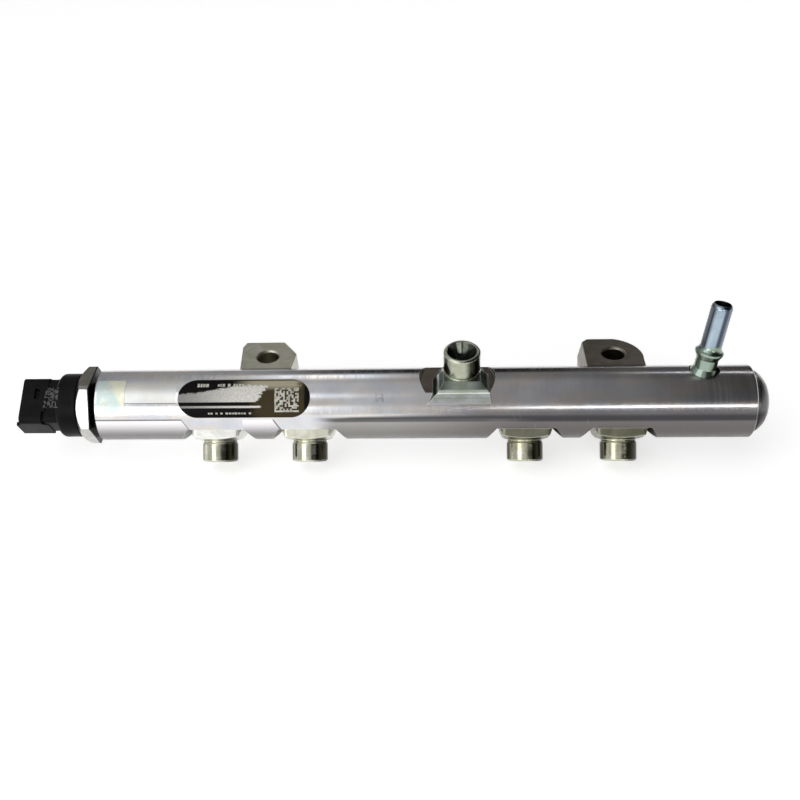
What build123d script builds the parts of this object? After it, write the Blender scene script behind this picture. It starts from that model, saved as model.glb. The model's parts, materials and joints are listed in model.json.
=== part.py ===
from build123d import *
import os
from math import cos, radians, sin, tan

# High-pressure fuel rail for a four-cylinder diesel engine, in millimetres.
# +X runs along the rail from the pressure sensor to the end plug, +Z is the axis of the
# mounting bolts, and -Y is the side that the outlets lean to. The origin is midway between
# the two bolt holes, on the seat face under the lugs.
# A "station" is a distance along the rail from the barrel's sensor end.
# A piece's angle is its place round the rail, in degrees from straight up to the front.

# Barrel
BARREL_D = 28.0
BARREL_LENGTH = 253.6
BARREL_EDGE = 0.5
MAIN_BORE_D = 9.0

# Mounting lugs, with outlines given from the bolt axis
LEFT_BOLT_STATION = 65.9
RIGHT_BOLT_STATION = 203.5
BOLT_SETBACK = 16.1
BOLT_HOLE_D = 8.5
BOLT_HOLE_EDGE = 0.6
SEAT_DROP = 14.5
LUG_HEIGHT = 26.5
LUG_PARTING_DEPTH = 6.6
LUG_DRAFT_ANGLE = 4.0
LUG_REACH = 10.6
LUG_SIDE = 11.3
LUG_ROOT = 6.0
LUG_FILLET = 2.5
LEFT_CORNER_WIDTH = 1.3
LEFT_CORNER_DEPTH = 3.5
LEFT_SLOPE_WIDTH = 5.8
LEFT_SLOPE_DEPTH = 8.8
LEFT_ROOT_INSET = 1.2
RIGHT_CORNER_CUT = 2.2
RIGHT_CURVE_WIDTH = 10.3
RIGHT_CURVE_DEPTH = 15.0
RIGHT_CURVE_MIDDLE_WIDTH = 2.6
RIGHT_CURVE_MIDDLE_DEPTH = 4.9
FLANK_SWELL = 1.3
FLANK_DEPTH = 3.0

# Ports in general
STUD_D = 14.0
STUD_EDGE = 0.57
STUD_NECK_D = 13.2
STUD_NECK_RUN = 0.6
CONE_MOUTH_D = 11.3
SEALING_CONE_HALF_ANGLE = 30.0

# Outlets to the injectors
OUTLET_1_STATION = 47.5
OUTLET_2_STATION = 83.5
OUTLET_3_STATION = 168.0
OUTLET_4_STATION = 204.0
OUTLET_ANGLE = 144.4
OUTLET_REACH = 22.8
OUTLET_DRILL_D = 2.5
OUTLET_POCKET_D = 29.8
OUTLET_POCKET_FLOOR = 10.0
OUTLET_PAD_HALF_WIDTH = 9.9
OUTLET_PAD_HALF_DEPTH = 9.8
OUTLET_PAD_DRAFT_ANGLE = 20.0
OUTLET_PAD_CORNER = 2.0
OUTLET_SHOULDER = 14.5
OUTLET_SHOULDER_ANGLE = 17.0

# Inlet from the pump
INLET_STATION = 143.4
INLET_ANGLE = 5.4
INLET_REACH = 25.9
INLET_DRILL_D = 3.0
INLET_POCKET_D = 25.8
INLET_POCKET_FLOOR = 11.7
INLET_POCKET_RUN = 3.4
INLET_PAD_FRONT = 10.9
INLET_PAD_LEFT = 9.3
INLET_PAD_RIGHT = 10.3
INLET_PAD_EAVES = 14.3
INLET_PAD_LEFT_DRAFT_ANGLE = 35.5
INLET_PAD_RIGHT_DRAFT_ANGLE = 6.0
INLET_SHOULDER = 16.6
INLET_FLARE_TOP = 17.4
INLET_FLARE_FOOT = 12.4
INLET_FLARE_R = 10.1
INLET_FLARE_SAG = 1.0

# Sensor socket, and the sensor's steel port
SOCKET_THREAD_D = 18.0
SOCKET_DEPTH = 14.0
SOCKET_EDGE = 0.6
THREAD_FIT = 0.03
SENSOR_GAP = 1.8
NOSE_D = 11.6
NOSE_LAND = 0.6
NOSE_LENGTH = 2.6
NOSE_HOLLOW = 0.8
SENSOR_DRILL_D = 3.0
HEX_ACROSS_FLATS = 27.0
HEX_LENGTH = 6.0
HEX_TURN_ANGLE = 1.4
HEX_BEVEL_LENGTH = 2.4
HEX_BEVEL_END_D = 25.2
SPIGOT_D = 21.2
SPIGOT_LENGTH = 2.5
SEAL_GROOVE_D = 18.0
SEAL_GROOVE_WIDTH = 1.7
SEAL_GROOVE_LAND = 0.5
SEAL_SECTION_D = 1.6
SEAL_FIT = 0.02

# Sensing parts, stacked on the port's spigot
DIAPHRAGM_D = 9.2
DIAPHRAGM_LENGTH = 1.5
DIAPHRAGM_WALL = 1.6
MEMBRANE_THICKNESS = 0.5
GAUGE_SIDE = 3.2
GAUGE_THICKNESS = 0.25
CARRIER_HEIGHT = 2.0
CARRIER_RIM = 0.8
CARRIER_BORE_D = 11.0
CARRIER_FIT = 0.05
BOARD_THICKNESS = 0.8
BOARD_FIT = 0.05
CHIP_LENGTH = 5.0
CHIP_WIDTH = 4.0
CHIP_HEIGHT = 0.9
CHIP_OFFSET = 5.2
CONTACT_PITCH = 4.5
CONTACT_SPRING_D = 1.9
CONTACT_WIRE_D = 0.3
CONTACT_COILS = 4
CONTACT_SPRING_LENGTH = 1.8
TERMINAL_WIDTH = 1.5
TERMINAL_THICKNESS = 0.64
TERMINAL_TIP = 0.2
TERMINAL_PAD_D = 2.6
TERMINAL_PAD_THICKNESS = 0.4
TERMINAL_FIT = 0.02

# Sensor connector
COLLAR_GAP = 0.2
COLLAR_FIT = 0.05
COLLAR_D = 25.5
COLLAR_LENGTH = 8.3
COLLAR_SHOULDER = 1.8
COLLAR_WALL = 2.85
SHELL_ANGLE = 31.4
SHELL_WIDTH = 19.6
SHELL_DEPTH = 12.8
SHELL_CORNER = 2.5
SHELL_LENGTH = 10.4
SHELL_WALL = 1.6
SHELL_FLOOR = 1.0
NECK_LENGTH = 5.3
NECK_INSET = 0.35
NECK_RECESS_WIDTH = 2.2
NECK_RECESS_DEPTH = 1.0
SLOT_LENGTH = 4.5
SLOT_RETURN = 3.0
SLOT_WIDTH = 1.4
SLOT_DEPTH = 1.0
WINDOW_LENGTH = 4.6
WINDOW_WIDTH = 2.0
WINDOW_OFFSET = 2.4
WINDOW_FROM_MOUTH = 7.2
LIP_WIDTH = 9.0
LIP_THICKNESS = 1.4
LIP_START = 0.9
LIP_REACH = 1.7
LIP_BACKSET = 1.5
PIN_SETBACK = 4.6

# Relief valve, in the chamber at the plug end
PLUG_SOCKET_DEPTH = 14.0
CHAMBER_D = 16.0
CHAMBER_LENGTH = 17.6
PRESS_FIT = 0.03
VALVE_BODY_LENGTH = 8.5
ORIFICE_D = 2.4
ORIFICE_LENGTH = 2.5
SEAT_HALF_ANGLE = 45.0
SEAT_GAP = 0.05
GUIDE_D = 7.0
RUNNING_FIT = 0.05
PLUNGER_TIP_D = 1.6
PLUNGER_FLATS = 3
PLUNGER_FLAT_DEPTH = 0.6
PLUNGER_COLLAR_GAP = 0.7
PLUNGER_COLLAR_D = 10.0
PLUNGER_COLLAR_LENGTH = 1.8
PLUNGER_PILOT_D = 6.2
PLUNGER_STROKE = 1.0
STOP_SPARE = 0.1
SPRING_D = 10.0
SPRING_WIRE_D = 1.5
SPRING_COILS = 5
SPRING_GROUND = 0.35
SHIM_THICKNESS = 0.8
SHIM_BORE_D = 3.0
SHIM_FIT = 0.05

# End plug
PLUG_HEAD_D = 24.0
PLUG_HEAD_RIM = 1.4
PLUG_HEAD_LENGTH = 6.0
PLUG_CROWN_D = 12.6
PLUG_CROWN_SAG = 0.7
PLUG_HEX_ACROSS_FLATS = 8.0
PLUG_HEX_DEPTH = 5.5
PLUG_END_GAP = 0.2
PLUG_POCKET_D = 11.2
PLUG_POCKET_DEPTH = 6.7
PLUG_GROOVE_D = 14.8
PLUG_GROOVE_WIDTH = 2.0
PLUG_GROOVE_LAND = 1.0
PLUG_RING_SECTION_D = 1.55

# Return spigot
RETURN_FROM_END = 20.1
RETURN_ANGLE = -7.4
RETURN_LEAN_ANGLE = 8.2
RETURN_FACE = 11.9
RETURN_FACE_FIT = 0.05
RETURN_STUB_D = 7.2
RETURN_STUB_LENGTH = 4.4
RETURN_FOOT_D = 11.4
RETURN_FOOT_RIM = 0.4
RETURN_FOOT_HEIGHT = 3.1
RETURN_NECK_D = 8.4
RETURN_BEAD = 21.4
RETURN_BEAD_D = 10.6
RETURN_BEAD_RIM = 0.8
RETURN_BEAD_CONE = 2.2
RETURN_BEAD_FLARE = 2.4
RETURN_TUBE_D = 7.9
RETURN_REACH = 41.0
RETURN_TIP_LENGTH = 1.6
RETURN_TIP_INSET = 0.8
RETURN_BORE_D = 4.4
RETURN_MOUTH_D = 6.1

# Labels wrapped on the barrel
LABEL_GLUE = 0.02
LABEL_THICKNESS = 0.1
SECURITY_LABEL_START = 1.3
SECURITY_LABEL_LENGTH = 11.1
SECURITY_LABEL_ANGLE = 40.5
SECURITY_LABEL_HEIGHT = 13.3
DATA_LABEL_START = 33.5
DATA_LABEL_LENGTH = 51.7
DATA_LABEL_ANGLE = 44.2
DATA_LABEL_HEIGHT = 15.0

# ------------------------------------------------------------------ frame of the rail

BARREL_R = BARREL_D / 2
BOLT_MIDDLE = (LEFT_BOLT_STATION + RIGHT_BOLT_STATION) / 2
RAIL_START = Vector(-BOLT_MIDDLE, -BOLT_SETBACK, SEAT_DROP)
RAIL_AXIS = Axis(RAIL_START, (1, 0, 0))
# Half-section of anything turned about the rail's axis: X is station and Y is radius.
HALF_SECTION = Plane(origin=RAIL_START, x_dir=(1, 0, 0), z_dir=(0, -1, 0))


def on_axis(station):
    """Return the point of the rail's axis at a station."""
    return RAIL_START + Vector(station, 0, 0)


def across(station):
    """Return the plane square to the rail at a station, facing +X."""
    return Plane(origin=on_axis(station), x_dir=(0, 1, 0), z_dir=(1, 0, 0))


def port_plane(station, around, lean=0.0):
    """Return the plane on the rail's axis that faces out along a port."""
    outward = Vector(
        sin(radians(lean)),
        -cos(radians(lean)) * sin(radians(around)),
        cos(radians(lean)) * cos(radians(around)),
    )
    return Plane(origin=on_axis(station), x_dir=(1, 0, 0), z_dir=outward)


def port_section(plane):
    """Return the half-section plane of a port: X is radius and Y is height."""
    return Plane(origin=plane.origin, x_dir=plane.x_dir, z_dir=-plane.y_dir)


def port_axis(plane):
    """Return the axis of a port."""
    return Axis(plane.origin, plane.z_dir)


def connector_plane(station):
    """Return the plane facing out of the connector, with X across its wide side."""
    wide = Vector(0, -cos(radians(SHELL_ANGLE)), -sin(radians(SHELL_ANGLE)))
    return Plane(origin=on_axis(station), x_dir=wide, z_dir=(-1, 0, 0))


def write(piece, name):
    """Name a finished piece and write its STEP file."""
    piece.part.label = name
    export_step(piece.part, f"parts/{name}.step")


OUTLET_PLANES = [
    port_plane(station, OUTLET_ANGLE)
    for station in (OUTLET_1_STATION, OUTLET_2_STATION, OUTLET_3_STATION, OUTLET_4_STATION)
]
INLET_PLANE = port_plane(INLET_STATION, INLET_ANGLE)
RETURN_PLANE = port_plane(BARREL_LENGTH - RETURN_FROM_END, RETURN_ANGLE, RETURN_LEAN_ANGLE)

os.makedirs("parts", exist_ok=True)

# ------------------------------------------------------------------ rail body

STUD_R = STUD_D / 2
PAD_START = MAIN_BORE_D / 2


def port_stud(shoulder, reach):
    """Return a port's threaded stud over its pad's shoulder, along +Z."""
    with BuildPart() as stud:
        with BuildSketch(Plane.XZ):
            with BuildLine():
                Polyline(
                    (0, PAD_START),
                    (STUD_NECK_D / 2, PAD_START),
                    (STUD_NECK_D / 2, shoulder + STUD_NECK_RUN),
                    (STUD_R, shoulder + 2 * STUD_NECK_RUN),
                    (STUD_R, reach - STUD_EDGE),
                    (STUD_R - STUD_EDGE, reach),
                    (0, reach),
                    close=True,
                )
            make_face()
        revolve(axis=Axis.Z)
    return stud.part


def port_drilling(drill_d, reach):
    """Return a port's cross drilling and its sealing cone, along +Z."""
    cone_length = (CONE_MOUTH_D - drill_d) / 2 / tan(radians(SEALING_CONE_HALF_ANGLE))
    with BuildPart() as drilling:
        with BuildSketch(Plane.XZ):
            with BuildLine():
                Polyline(
                    (0, 0),
                    (drill_d / 2, 0),
                    (drill_d / 2, reach - cone_length),
                    (CONE_MOUTH_D / 2, reach),
                    (0, reach),
                    close=True,
                )
            make_face()
        revolve(axis=Axis.Z)
    return drilling.part


# An outlet's boss: a pad with rounded corners, leaning sides and a shallow cone on top.
OUTLET_NARROWING = (OUTLET_SHOULDER - OUTLET_POCKET_FLOOR) * tan(radians(OUTLET_PAD_DRAFT_ANGLE))
OUTLET_RIM = OUTLET_SHOULDER - (BARREL_D - STUD_R) * tan(radians(OUTLET_SHOULDER_ANGLE))
with BuildPart() as outlet_boss:
    with BuildSketch(Plane.XY.offset(PAD_START)):
        RectangleRounded(2 * OUTLET_PAD_HALF_WIDTH, 2 * OUTLET_PAD_HALF_DEPTH, OUTLET_PAD_CORNER)
    extrude(amount=OUTLET_SHOULDER - PAD_START)
    with BuildSketch(Plane.XZ):
        with BuildLine():
            Polyline(
                (-OUTLET_PAD_HALF_WIDTH, 0),
                (-OUTLET_PAD_HALF_WIDTH, OUTLET_POCKET_FLOOR),
                (OUTLET_NARROWING - OUTLET_PAD_HALF_WIDTH, OUTLET_SHOULDER),
                (OUTLET_PAD_HALF_WIDTH - OUTLET_NARROWING, OUTLET_SHOULDER),
                (OUTLET_PAD_HALF_WIDTH, OUTLET_POCKET_FLOOR),
                (OUTLET_PAD_HALF_WIDTH, 0),
                close=True,
            )
        make_face()
    extrude(amount=OUTLET_PAD_HALF_DEPTH, both=True, mode=Mode.INTERSECT)
    with BuildSketch(Plane.XZ):
        with BuildLine():
            Polyline(
                (0, 0),
                (BARREL_D, 0),
                (BARREL_D, OUTLET_RIM),
                (STUD_R, OUTLET_SHOULDER),
                (0, OUTLET_SHOULDER),
                close=True,
            )
        make_face()
    revolve(axis=Axis.Z, mode=Mode.INTERSECT)
    add(port_stud(OUTLET_SHOULDER, OUTLET_REACH))

# The inlet's boss: a block in front with a hipped top, and more draft on its left side.
# Behind, the stud flares out into the barrel.
INLET_RISE = INLET_PAD_EAVES - PAD_START
INLET_LEFT_FOOT = INLET_PAD_LEFT + INLET_RISE * tan(radians(INLET_PAD_LEFT_DRAFT_ANGLE))
INLET_RIGHT_FOOT = INLET_PAD_RIGHT + INLET_RISE * tan(radians(INLET_PAD_RIGHT_DRAFT_ANGLE))
with BuildPart() as inlet_boss:
    with BuildSketch(Plane.XZ):
        with BuildLine():
            Polyline(
                (-INLET_LEFT_FOOT, PAD_START),
                (-INLET_PAD_LEFT, INLET_PAD_EAVES),
                (-STUD_R, INLET_SHOULDER),
                (STUD_R, INLET_SHOULDER),
                (INLET_PAD_RIGHT, INLET_PAD_EAVES),
                (INLET_RIGHT_FOOT, PAD_START),
                close=True,
            )
        make_face()
    extrude(amount=INLET_PAD_FRONT)
    with BuildSketch(Plane.YZ):
        with BuildLine():
            Polyline(
                (-INLET_PAD_FRONT, PAD_START),
                (-INLET_PAD_FRONT, INLET_PAD_EAVES),
                (-STUD_R, INLET_SHOULDER),
                (0, INLET_SHOULDER),
                (0, PAD_START),
                close=True,
            )
        make_face()
    extrude(amount=INLET_LEFT_FOOT, both=True, mode=Mode.INTERSECT)
    with BuildSketch(Plane.XZ):
        with BuildLine():
            SagittaArc(
                (STUD_R, INLET_FLARE_TOP), (INLET_FLARE_R, INLET_FLARE_FOOT), -INLET_FLARE_SAG
            )
            Polyline(
                (INLET_FLARE_R, INLET_FLARE_FOOT),
                (INLET_FLARE_R, PAD_START),
                (0, PAD_START),
                (0, INLET_FLARE_TOP),
                (STUD_R, INLET_FLARE_TOP),
            )
        make_face()
    revolve(axis=Axis.Z, revolution_arc=180)
    add(port_stud(INLET_SHOULDER, INLET_REACH))

outlet_drilling = port_drilling(OUTLET_DRILL_D, OUTLET_REACH)
inlet_drilling = port_drilling(INLET_DRILL_D, INLET_REACH)

# A bolt hole, with its upper rim chamfered.
with BuildPart() as bolt_hole:
    with BuildSketch(Plane.XZ):
        with BuildLine():
            Polyline(
                (0, 0),
                (BOLT_HOLE_D / 2, 0),
                (BOLT_HOLE_D / 2, LUG_HEIGHT - BOLT_HOLE_EDGE),
                (BOLT_HOLE_D / 2 + BOLT_HOLE_EDGE, LUG_HEIGHT),
                (0, LUG_HEIGHT),
                close=True,
            )
        make_face()
    revolve(axis=Axis.Z)

LUG_FRONT = LUG_ROOT - BOLT_SETBACK
LUG_PARTING = LUG_HEIGHT - LUG_PARTING_DEPTH
LUG_SWELL = LUG_PARTING_DEPTH * tan(radians(LUG_DRAFT_ANGLE))
LEFT_BOLT = on_axis(LEFT_BOLT_STATION).X
RIGHT_BOLT = on_axis(RIGHT_BOLT_STATION).X
PLUG_SHOULDER = BARREL_LENGTH - PLUG_SOCKET_DEPTH
CHAMBER_START = PLUG_SHOULDER - CHAMBER_LENGTH

# The left lug's outline widens from its root, to a clipped corner and a long sloping one.
with BuildSketch(Plane((LEFT_BOLT, 0, LUG_PARTING))) as left_outline:
    with BuildLine():
        Polyline(
            (LEFT_ROOT_INSET - LUG_SIDE, LUG_FRONT),
            (-LUG_SIDE, LUG_REACH - LEFT_CORNER_DEPTH),
            (LEFT_CORNER_WIDTH - LUG_SIDE, LUG_REACH),
            (LUG_SIDE - LEFT_SLOPE_WIDTH, LUG_REACH),
            (LUG_SIDE, LUG_REACH - LEFT_SLOPE_DEPTH),
            (LUG_SIDE - LEFT_ROOT_INSET, LUG_FRONT),
            close=True,
        )
    make_face()
    offset(amount=LUG_SWELL, kind=Kind.INTERSECTION, mode=Mode.REPLACE)

# The right lug's outline has a small clipped corner, and falls away in a curve.
with BuildSketch(Plane((RIGHT_BOLT, 0, LUG_PARTING))) as right_outline:
    curve_start = Vector(LUG_SIDE - RIGHT_CURVE_WIDTH, LUG_REACH)
    curve_end = Vector(LUG_SIDE, LUG_REACH - RIGHT_CURVE_DEPTH)
    curve_middle = (LUG_SIDE - RIGHT_CURVE_MIDDLE_WIDTH, LUG_REACH - RIGHT_CURVE_MIDDLE_DEPTH)
    with BuildLine():
        ThreePointArc(curve_start, curve_middle, curve_end)
        Polyline(
            curve_end,
            (LUG_SIDE, LUG_FRONT),
            (-LUG_SIDE, LUG_FRONT),
            (-LUG_SIDE, LUG_REACH - RIGHT_CORNER_CUT),
            (RIGHT_CORNER_CUT - LUG_SIDE, LUG_REACH),
            curve_start,
        )
    make_face()
    offset(amount=LUG_SWELL, kind=Kind.INTERSECTION, mode=Mode.REPLACE)

with BuildPart() as rail_body:
    # The round forged barrel.
    with BuildSketch(across(0)):
        Circle(BARREL_R)
    extrude(amount=BARREL_LENGTH)
    chamfer(rail_body.edges().filter_by(GeomType.CIRCLE), BARREL_EDGE)

    # Two lugs behind it, drafted both ways from the forging's parting line.
    for outline in (left_outline, right_outline):
        extrude(outline.sketch, amount=LUG_PARTING_DEPTH, taper=LUG_DRAFT_ANGLE)
        extrude(outline.sketch, amount=LUG_PARTING, dir=(0, 0, -1), taper=LUG_DRAFT_ANGLE)
    # The right lug's left flank swells at the parting line.
    with BuildSketch(Plane.XZ.offset(-LUG_FRONT)):
        with Locations((RIGHT_BOLT - LUG_SIDE, 0)):
            Polygon(
                (0, LUG_HEIGHT),
                (-FLANK_SWELL, LUG_PARTING),
                (0, 0),
                (FLANK_DEPTH, 0),
                (FLANK_DEPTH, LUG_HEIGHT),
                align=None,
            )
    extrude(amount=LUG_FRONT - LUG_REACH + RIGHT_CORNER_CUT)
    lug_tops = rail_body.edges().filter_by(Axis.X).group_by(Axis.Z)[-1]
    fillet(lug_tops.filter_by_position(Axis.Y, -BOLT_SETBACK, 0), LUG_FILLET)

    # A flat-floored pocket round each port, with the port's boss rising out of it.
    with BuildSketch([plane.offset(OUTLET_POCKET_FLOOR) for plane in OUTLET_PLANES]):
        Circle(OUTLET_POCKET_D / 2)
    extrude(amount=BARREL_R, mode=Mode.SUBTRACT)
    with BuildSketch(INLET_PLANE.offset(INLET_POCKET_FLOOR)):
        with Locations((-INLET_POCKET_RUN / 2, 0)):
            SlotCenterToCenter(INLET_POCKET_RUN, INLET_POCKET_D)
    extrude(amount=BARREL_R, mode=Mode.SUBTRACT)
    with Locations([plane.location for plane in OUTLET_PLANES]):
        add(outlet_boss.part)
    with Locations(INLET_PLANE.location):
        add(inlet_boss.part)

    # The gallery: sensor socket, main bore, valve chamber and plug socket in one line.
    with BuildSketch(HALF_SECTION):
        with BuildLine():
            Polyline(
                (0, 0),
                (0, SOCKET_THREAD_D / 2 + SOCKET_EDGE),
                (SOCKET_EDGE, SOCKET_THREAD_D / 2),
                (SOCKET_DEPTH, SOCKET_THREAD_D / 2),
                (SOCKET_DEPTH, MAIN_BORE_D / 2),
                (CHAMBER_START, MAIN_BORE_D / 2),
                (CHAMBER_START, CHAMBER_D / 2),
                (PLUG_SHOULDER, CHAMBER_D / 2),
                (PLUG_SHOULDER, SOCKET_THREAD_D / 2),
                (BARREL_LENGTH - SOCKET_EDGE, SOCKET_THREAD_D / 2),
                (BARREL_LENGTH, SOCKET_THREAD_D / 2 + SOCKET_EDGE),
                (BARREL_LENGTH, 0),
                close=True,
            )
        make_face()
    revolve(axis=RAIL_AXIS, mode=Mode.SUBTRACT)

    # Cross drillings with their sealing cones.
    with Locations([plane.location for plane in OUTLET_PLANES]):
        add(outlet_drilling, mode=Mode.SUBTRACT)
    with Locations(INLET_PLANE.location):
        add(inlet_drilling, mode=Mode.SUBTRACT)

    # The return port: a spot face and a hole into the valve chamber.
    with BuildSketch(RETURN_PLANE.offset(RETURN_FACE)):
        Circle(RETURN_FOOT_D / 2 + RETURN_FACE_FIT)
    extrude(amount=BARREL_R, mode=Mode.SUBTRACT)
    with BuildSketch(RETURN_PLANE.offset(CHAMBER_D / 4)):
        Circle(RETURN_STUB_D / 2)
    extrude(amount=BARREL_R, mode=Mode.SUBTRACT)

    # Bolt holes through the lugs.
    with Locations((LEFT_BOLT, 0), (RIGHT_BOLT, 0)):
        add(bolt_hole.part, mode=Mode.SUBTRACT)
write(rail_body, "rail_body")

# ------------------------------------------------------------------ pressure sensor

HEX_FRONT = -SENSOR_GAP
HEX_REAR = HEX_FRONT - HEX_LENGTH
SPIGOT_FACE = HEX_REAR - SPIGOT_LENGTH
SOCKET_STEM_R = SOCKET_THREAD_D / 2 - THREAD_FIT
GROOVE_START = HEX_REAR - SEAL_GROOVE_LAND
HEX_BEVEL_SLOPE = (HEX_ACROSS_FLATS / cos(radians(30)) - HEX_BEVEL_END_D) / 2 / HEX_BEVEL_LENGTH

# The steel port screws into the rail, and its nose seals on the socket's floor.
with BuildPart() as sensor_pressure_port:
    with BuildSketch(across(HEX_REAR)):
        RegularPolygon(HEX_ACROSS_FLATS / 2, 6, major_radius=False, rotation=HEX_TURN_ANGLE)
    extrude(amount=HEX_LENGTH)
    with BuildSketch(HALF_SECTION):
        with BuildLine():
            Polyline(
                (HEX_REAR, 0),
                (HEX_REAR, HEX_BEVEL_END_D / 2),
                (HEX_FRONT, HEX_BEVEL_END_D / 2 + HEX_LENGTH * HEX_BEVEL_SLOPE),
                (HEX_FRONT, 0),
                close=True,
            )
        make_face()
    revolve(axis=RAIL_AXIS, mode=Mode.INTERSECT)
    with BuildSketch(HALF_SECTION):
        with BuildLine():
            Polyline(
                (HEX_FRONT, 0),
                (HEX_FRONT, SOCKET_STEM_R),
                (SOCKET_DEPTH - NOSE_LENGTH, SOCKET_STEM_R),
                (SOCKET_DEPTH, NOSE_D / 2),
                (SOCKET_DEPTH, NOSE_D / 2 - NOSE_LAND),
                (SOCKET_DEPTH - NOSE_HOLLOW, SENSOR_DRILL_D / 2),
                (SOCKET_DEPTH - NOSE_HOLLOW, 0),
                close=True,
            )
            Polyline(
                (HEX_REAR, 0),
                (HEX_REAR, SPIGOT_D / 2),
                (GROOVE_START, SPIGOT_D / 2),
                (GROOVE_START, SEAL_GROOVE_D / 2),
                (GROOVE_START - SEAL_GROOVE_WIDTH, SEAL_GROOVE_D / 2),
                (GROOVE_START - SEAL_GROOVE_WIDTH, SPIGOT_D / 2),
                (SPIGOT_FACE, SPIGOT_D / 2),
                (SPIGOT_FACE, 0),
                close=True,
            )
        make_face()
    revolve(axis=RAIL_AXIS)
    with BuildSketch(across(SPIGOT_FACE)):
        Circle(SENSOR_DRILL_D / 2)
    extrude(amount=SOCKET_DEPTH - SPIGOT_FACE, mode=Mode.SUBTRACT)
write(sensor_pressure_port, "sensor_pressure_port")

# The seal ring lies in the spigot's groove.
with BuildPart() as sensor_seal_ring:
    with BuildSketch(HALF_SECTION):
        with Locations(
            (
                GROOVE_START - SEAL_GROOVE_WIDTH / 2,
                SEAL_GROOVE_D / 2 + SEAL_FIT + SEAL_SECTION_D / 2,
            )
        ):
            Circle(SEAL_SECTION_D / 2)
    revolve(axis=RAIL_AXIS)
write(sensor_seal_ring, "sensor_seal_ring")

# The diaphragm is a steel cup standing over the port's bore.
DIAPHRAGM_REAR = SPIGOT_FACE - DIAPHRAGM_LENGTH
with BuildPart() as sensor_diaphragm:
    with BuildSketch(across(DIAPHRAGM_REAR)):
        Circle(DIAPHRAGM_D / 2)
    extrude(amount=DIAPHRAGM_LENGTH)
    with BuildSketch(across(SPIGOT_FACE)):
        Circle(DIAPHRAGM_D / 2 - DIAPHRAGM_WALL)
    extrude(amount=MEMBRANE_THICKNESS - DIAPHRAGM_LENGTH, mode=Mode.SUBTRACT)
write(sensor_diaphragm, "sensor_diaphragm")

with BuildPart() as sensor_strain_gauge:
    with BuildSketch(connector_plane(DIAPHRAGM_REAR)):
        Rectangle(GAUGE_SIDE, GAUGE_SIDE)
    extrude(amount=GAUGE_THICKNESS)
write(sensor_strain_gauge, "sensor_strain_gauge")

# A plastic ring carries the circuit board over the diaphragm.
CHAMBER_R = COLLAR_D / 2 - COLLAR_WALL
CARRIER_R = CHAMBER_R - CARRIER_FIT
BOARD_FRONT = SPIGOT_FACE - CARRIER_HEIGHT
BOARD_REAR = BOARD_FRONT - BOARD_THICKNESS
with BuildPart() as sensor_board_carrier:
    with BuildSketch(HALF_SECTION):
        with BuildLine():
            Polyline(
                (SPIGOT_FACE, CARRIER_BORE_D / 2),
                (SPIGOT_FACE, CARRIER_R),
                (BOARD_REAR, CARRIER_R),
                (BOARD_REAR, CARRIER_R - CARRIER_RIM),
                (BOARD_FRONT, CARRIER_R - CARRIER_RIM),
                (BOARD_FRONT, CARRIER_BORE_D / 2),
                close=True,
            )
        make_face()
    revolve(axis=RAIL_AXIS)
write(sensor_board_carrier, "sensor_board_carrier")

with BuildPart() as sensor_circuit_board:
    with BuildSketch(connector_plane(BOARD_FRONT)):
        Circle(CARRIER_R - CARRIER_RIM - BOARD_FIT)
    extrude(amount=BOARD_THICKNESS)
write(sensor_circuit_board, "sensor_circuit_board")

with BuildPart() as sensor_circuit_chip:
    with BuildSketch(connector_plane(BOARD_REAR)):
        with Locations((0, -CHIP_OFFSET)):
            Rectangle(CHIP_LENGTH, CHIP_WIDTH)
    extrude(amount=CHIP_HEIGHT)
write(sensor_circuit_chip, "sensor_circuit_chip")


def coil_spring(base, length, outer_d, wire_d, coils, ground):
    """Return a coil spring standing on a plane, with both ends ground flat.

    ground is the height of the wire's centre over each end face, in wire diameters.
    """
    lift = ground * wire_d
    rise = length - 2 * lift
    with BuildPart() as spring:
        with BuildLine() as coil:
            Helix(
                pitch=rise / coils,
                height=rise,
                radius=(outer_d - wire_d) / 2,
                center=base.offset(lift).origin,
                direction=base.z_dir,
            )
        with BuildSketch(Plane(origin=coil.line @ 0, z_dir=coil.line % 0)):
            Circle(wire_d / 2)
        sweep(path=coil.line, is_frenet=True)
        with BuildSketch(base):
            Circle(outer_d)
        extrude(amount=length, mode=Mode.INTERSECT)
    return spring


# Three contacts in a row: a coil spring from the board to a terminal through the neck.
PAD_FRONT = BOARD_REAR - CONTACT_SPRING_LENGTH
CHAMBER_FLOOR = PAD_FRONT - TERMINAL_PAD_THICKNESS
COLLAR_REAR = HEX_REAR - COLLAR_GAP - COLLAR_LENGTH
NECK_REAR = COLLAR_REAR - NECK_LENGTH
MOUTH = NECK_REAR - SHELL_LENGTH
PIN_END = MOUTH + PIN_SETBACK
for number, place in enumerate((-CONTACT_PITCH, 0, CONTACT_PITCH), start=1):
    spring_base = Plane(connector_plane(BOARD_REAR).location * Pos(place, 0, 0))
    contact_spring = coil_spring(
        spring_base,
        CONTACT_SPRING_LENGTH,
        CONTACT_SPRING_D,
        CONTACT_WIRE_D,
        CONTACT_COILS,
        SPRING_GROUND,
    )
    write(contact_spring, f"sensor_contact_spring_{number}")

    with BuildPart() as terminal:
        with BuildSketch(connector_plane(PAD_FRONT)):
            with Locations((place, 0)):
                Circle(TERMINAL_PAD_D / 2)
        extrude(amount=TERMINAL_PAD_THICKNESS)
        with BuildSketch(connector_plane(CHAMBER_FLOOR)):
            with Locations((place, 0)):
                Rectangle(TERMINAL_WIDTH, TERMINAL_THICKNESS)
        extrude(amount=CHAMBER_FLOOR - PIN_END)
        chamfer(terminal.faces().sort_by(Axis.X)[0].edges(), TERMINAL_TIP)
    write(terminal, f"sensor_terminal_{number}")

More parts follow.
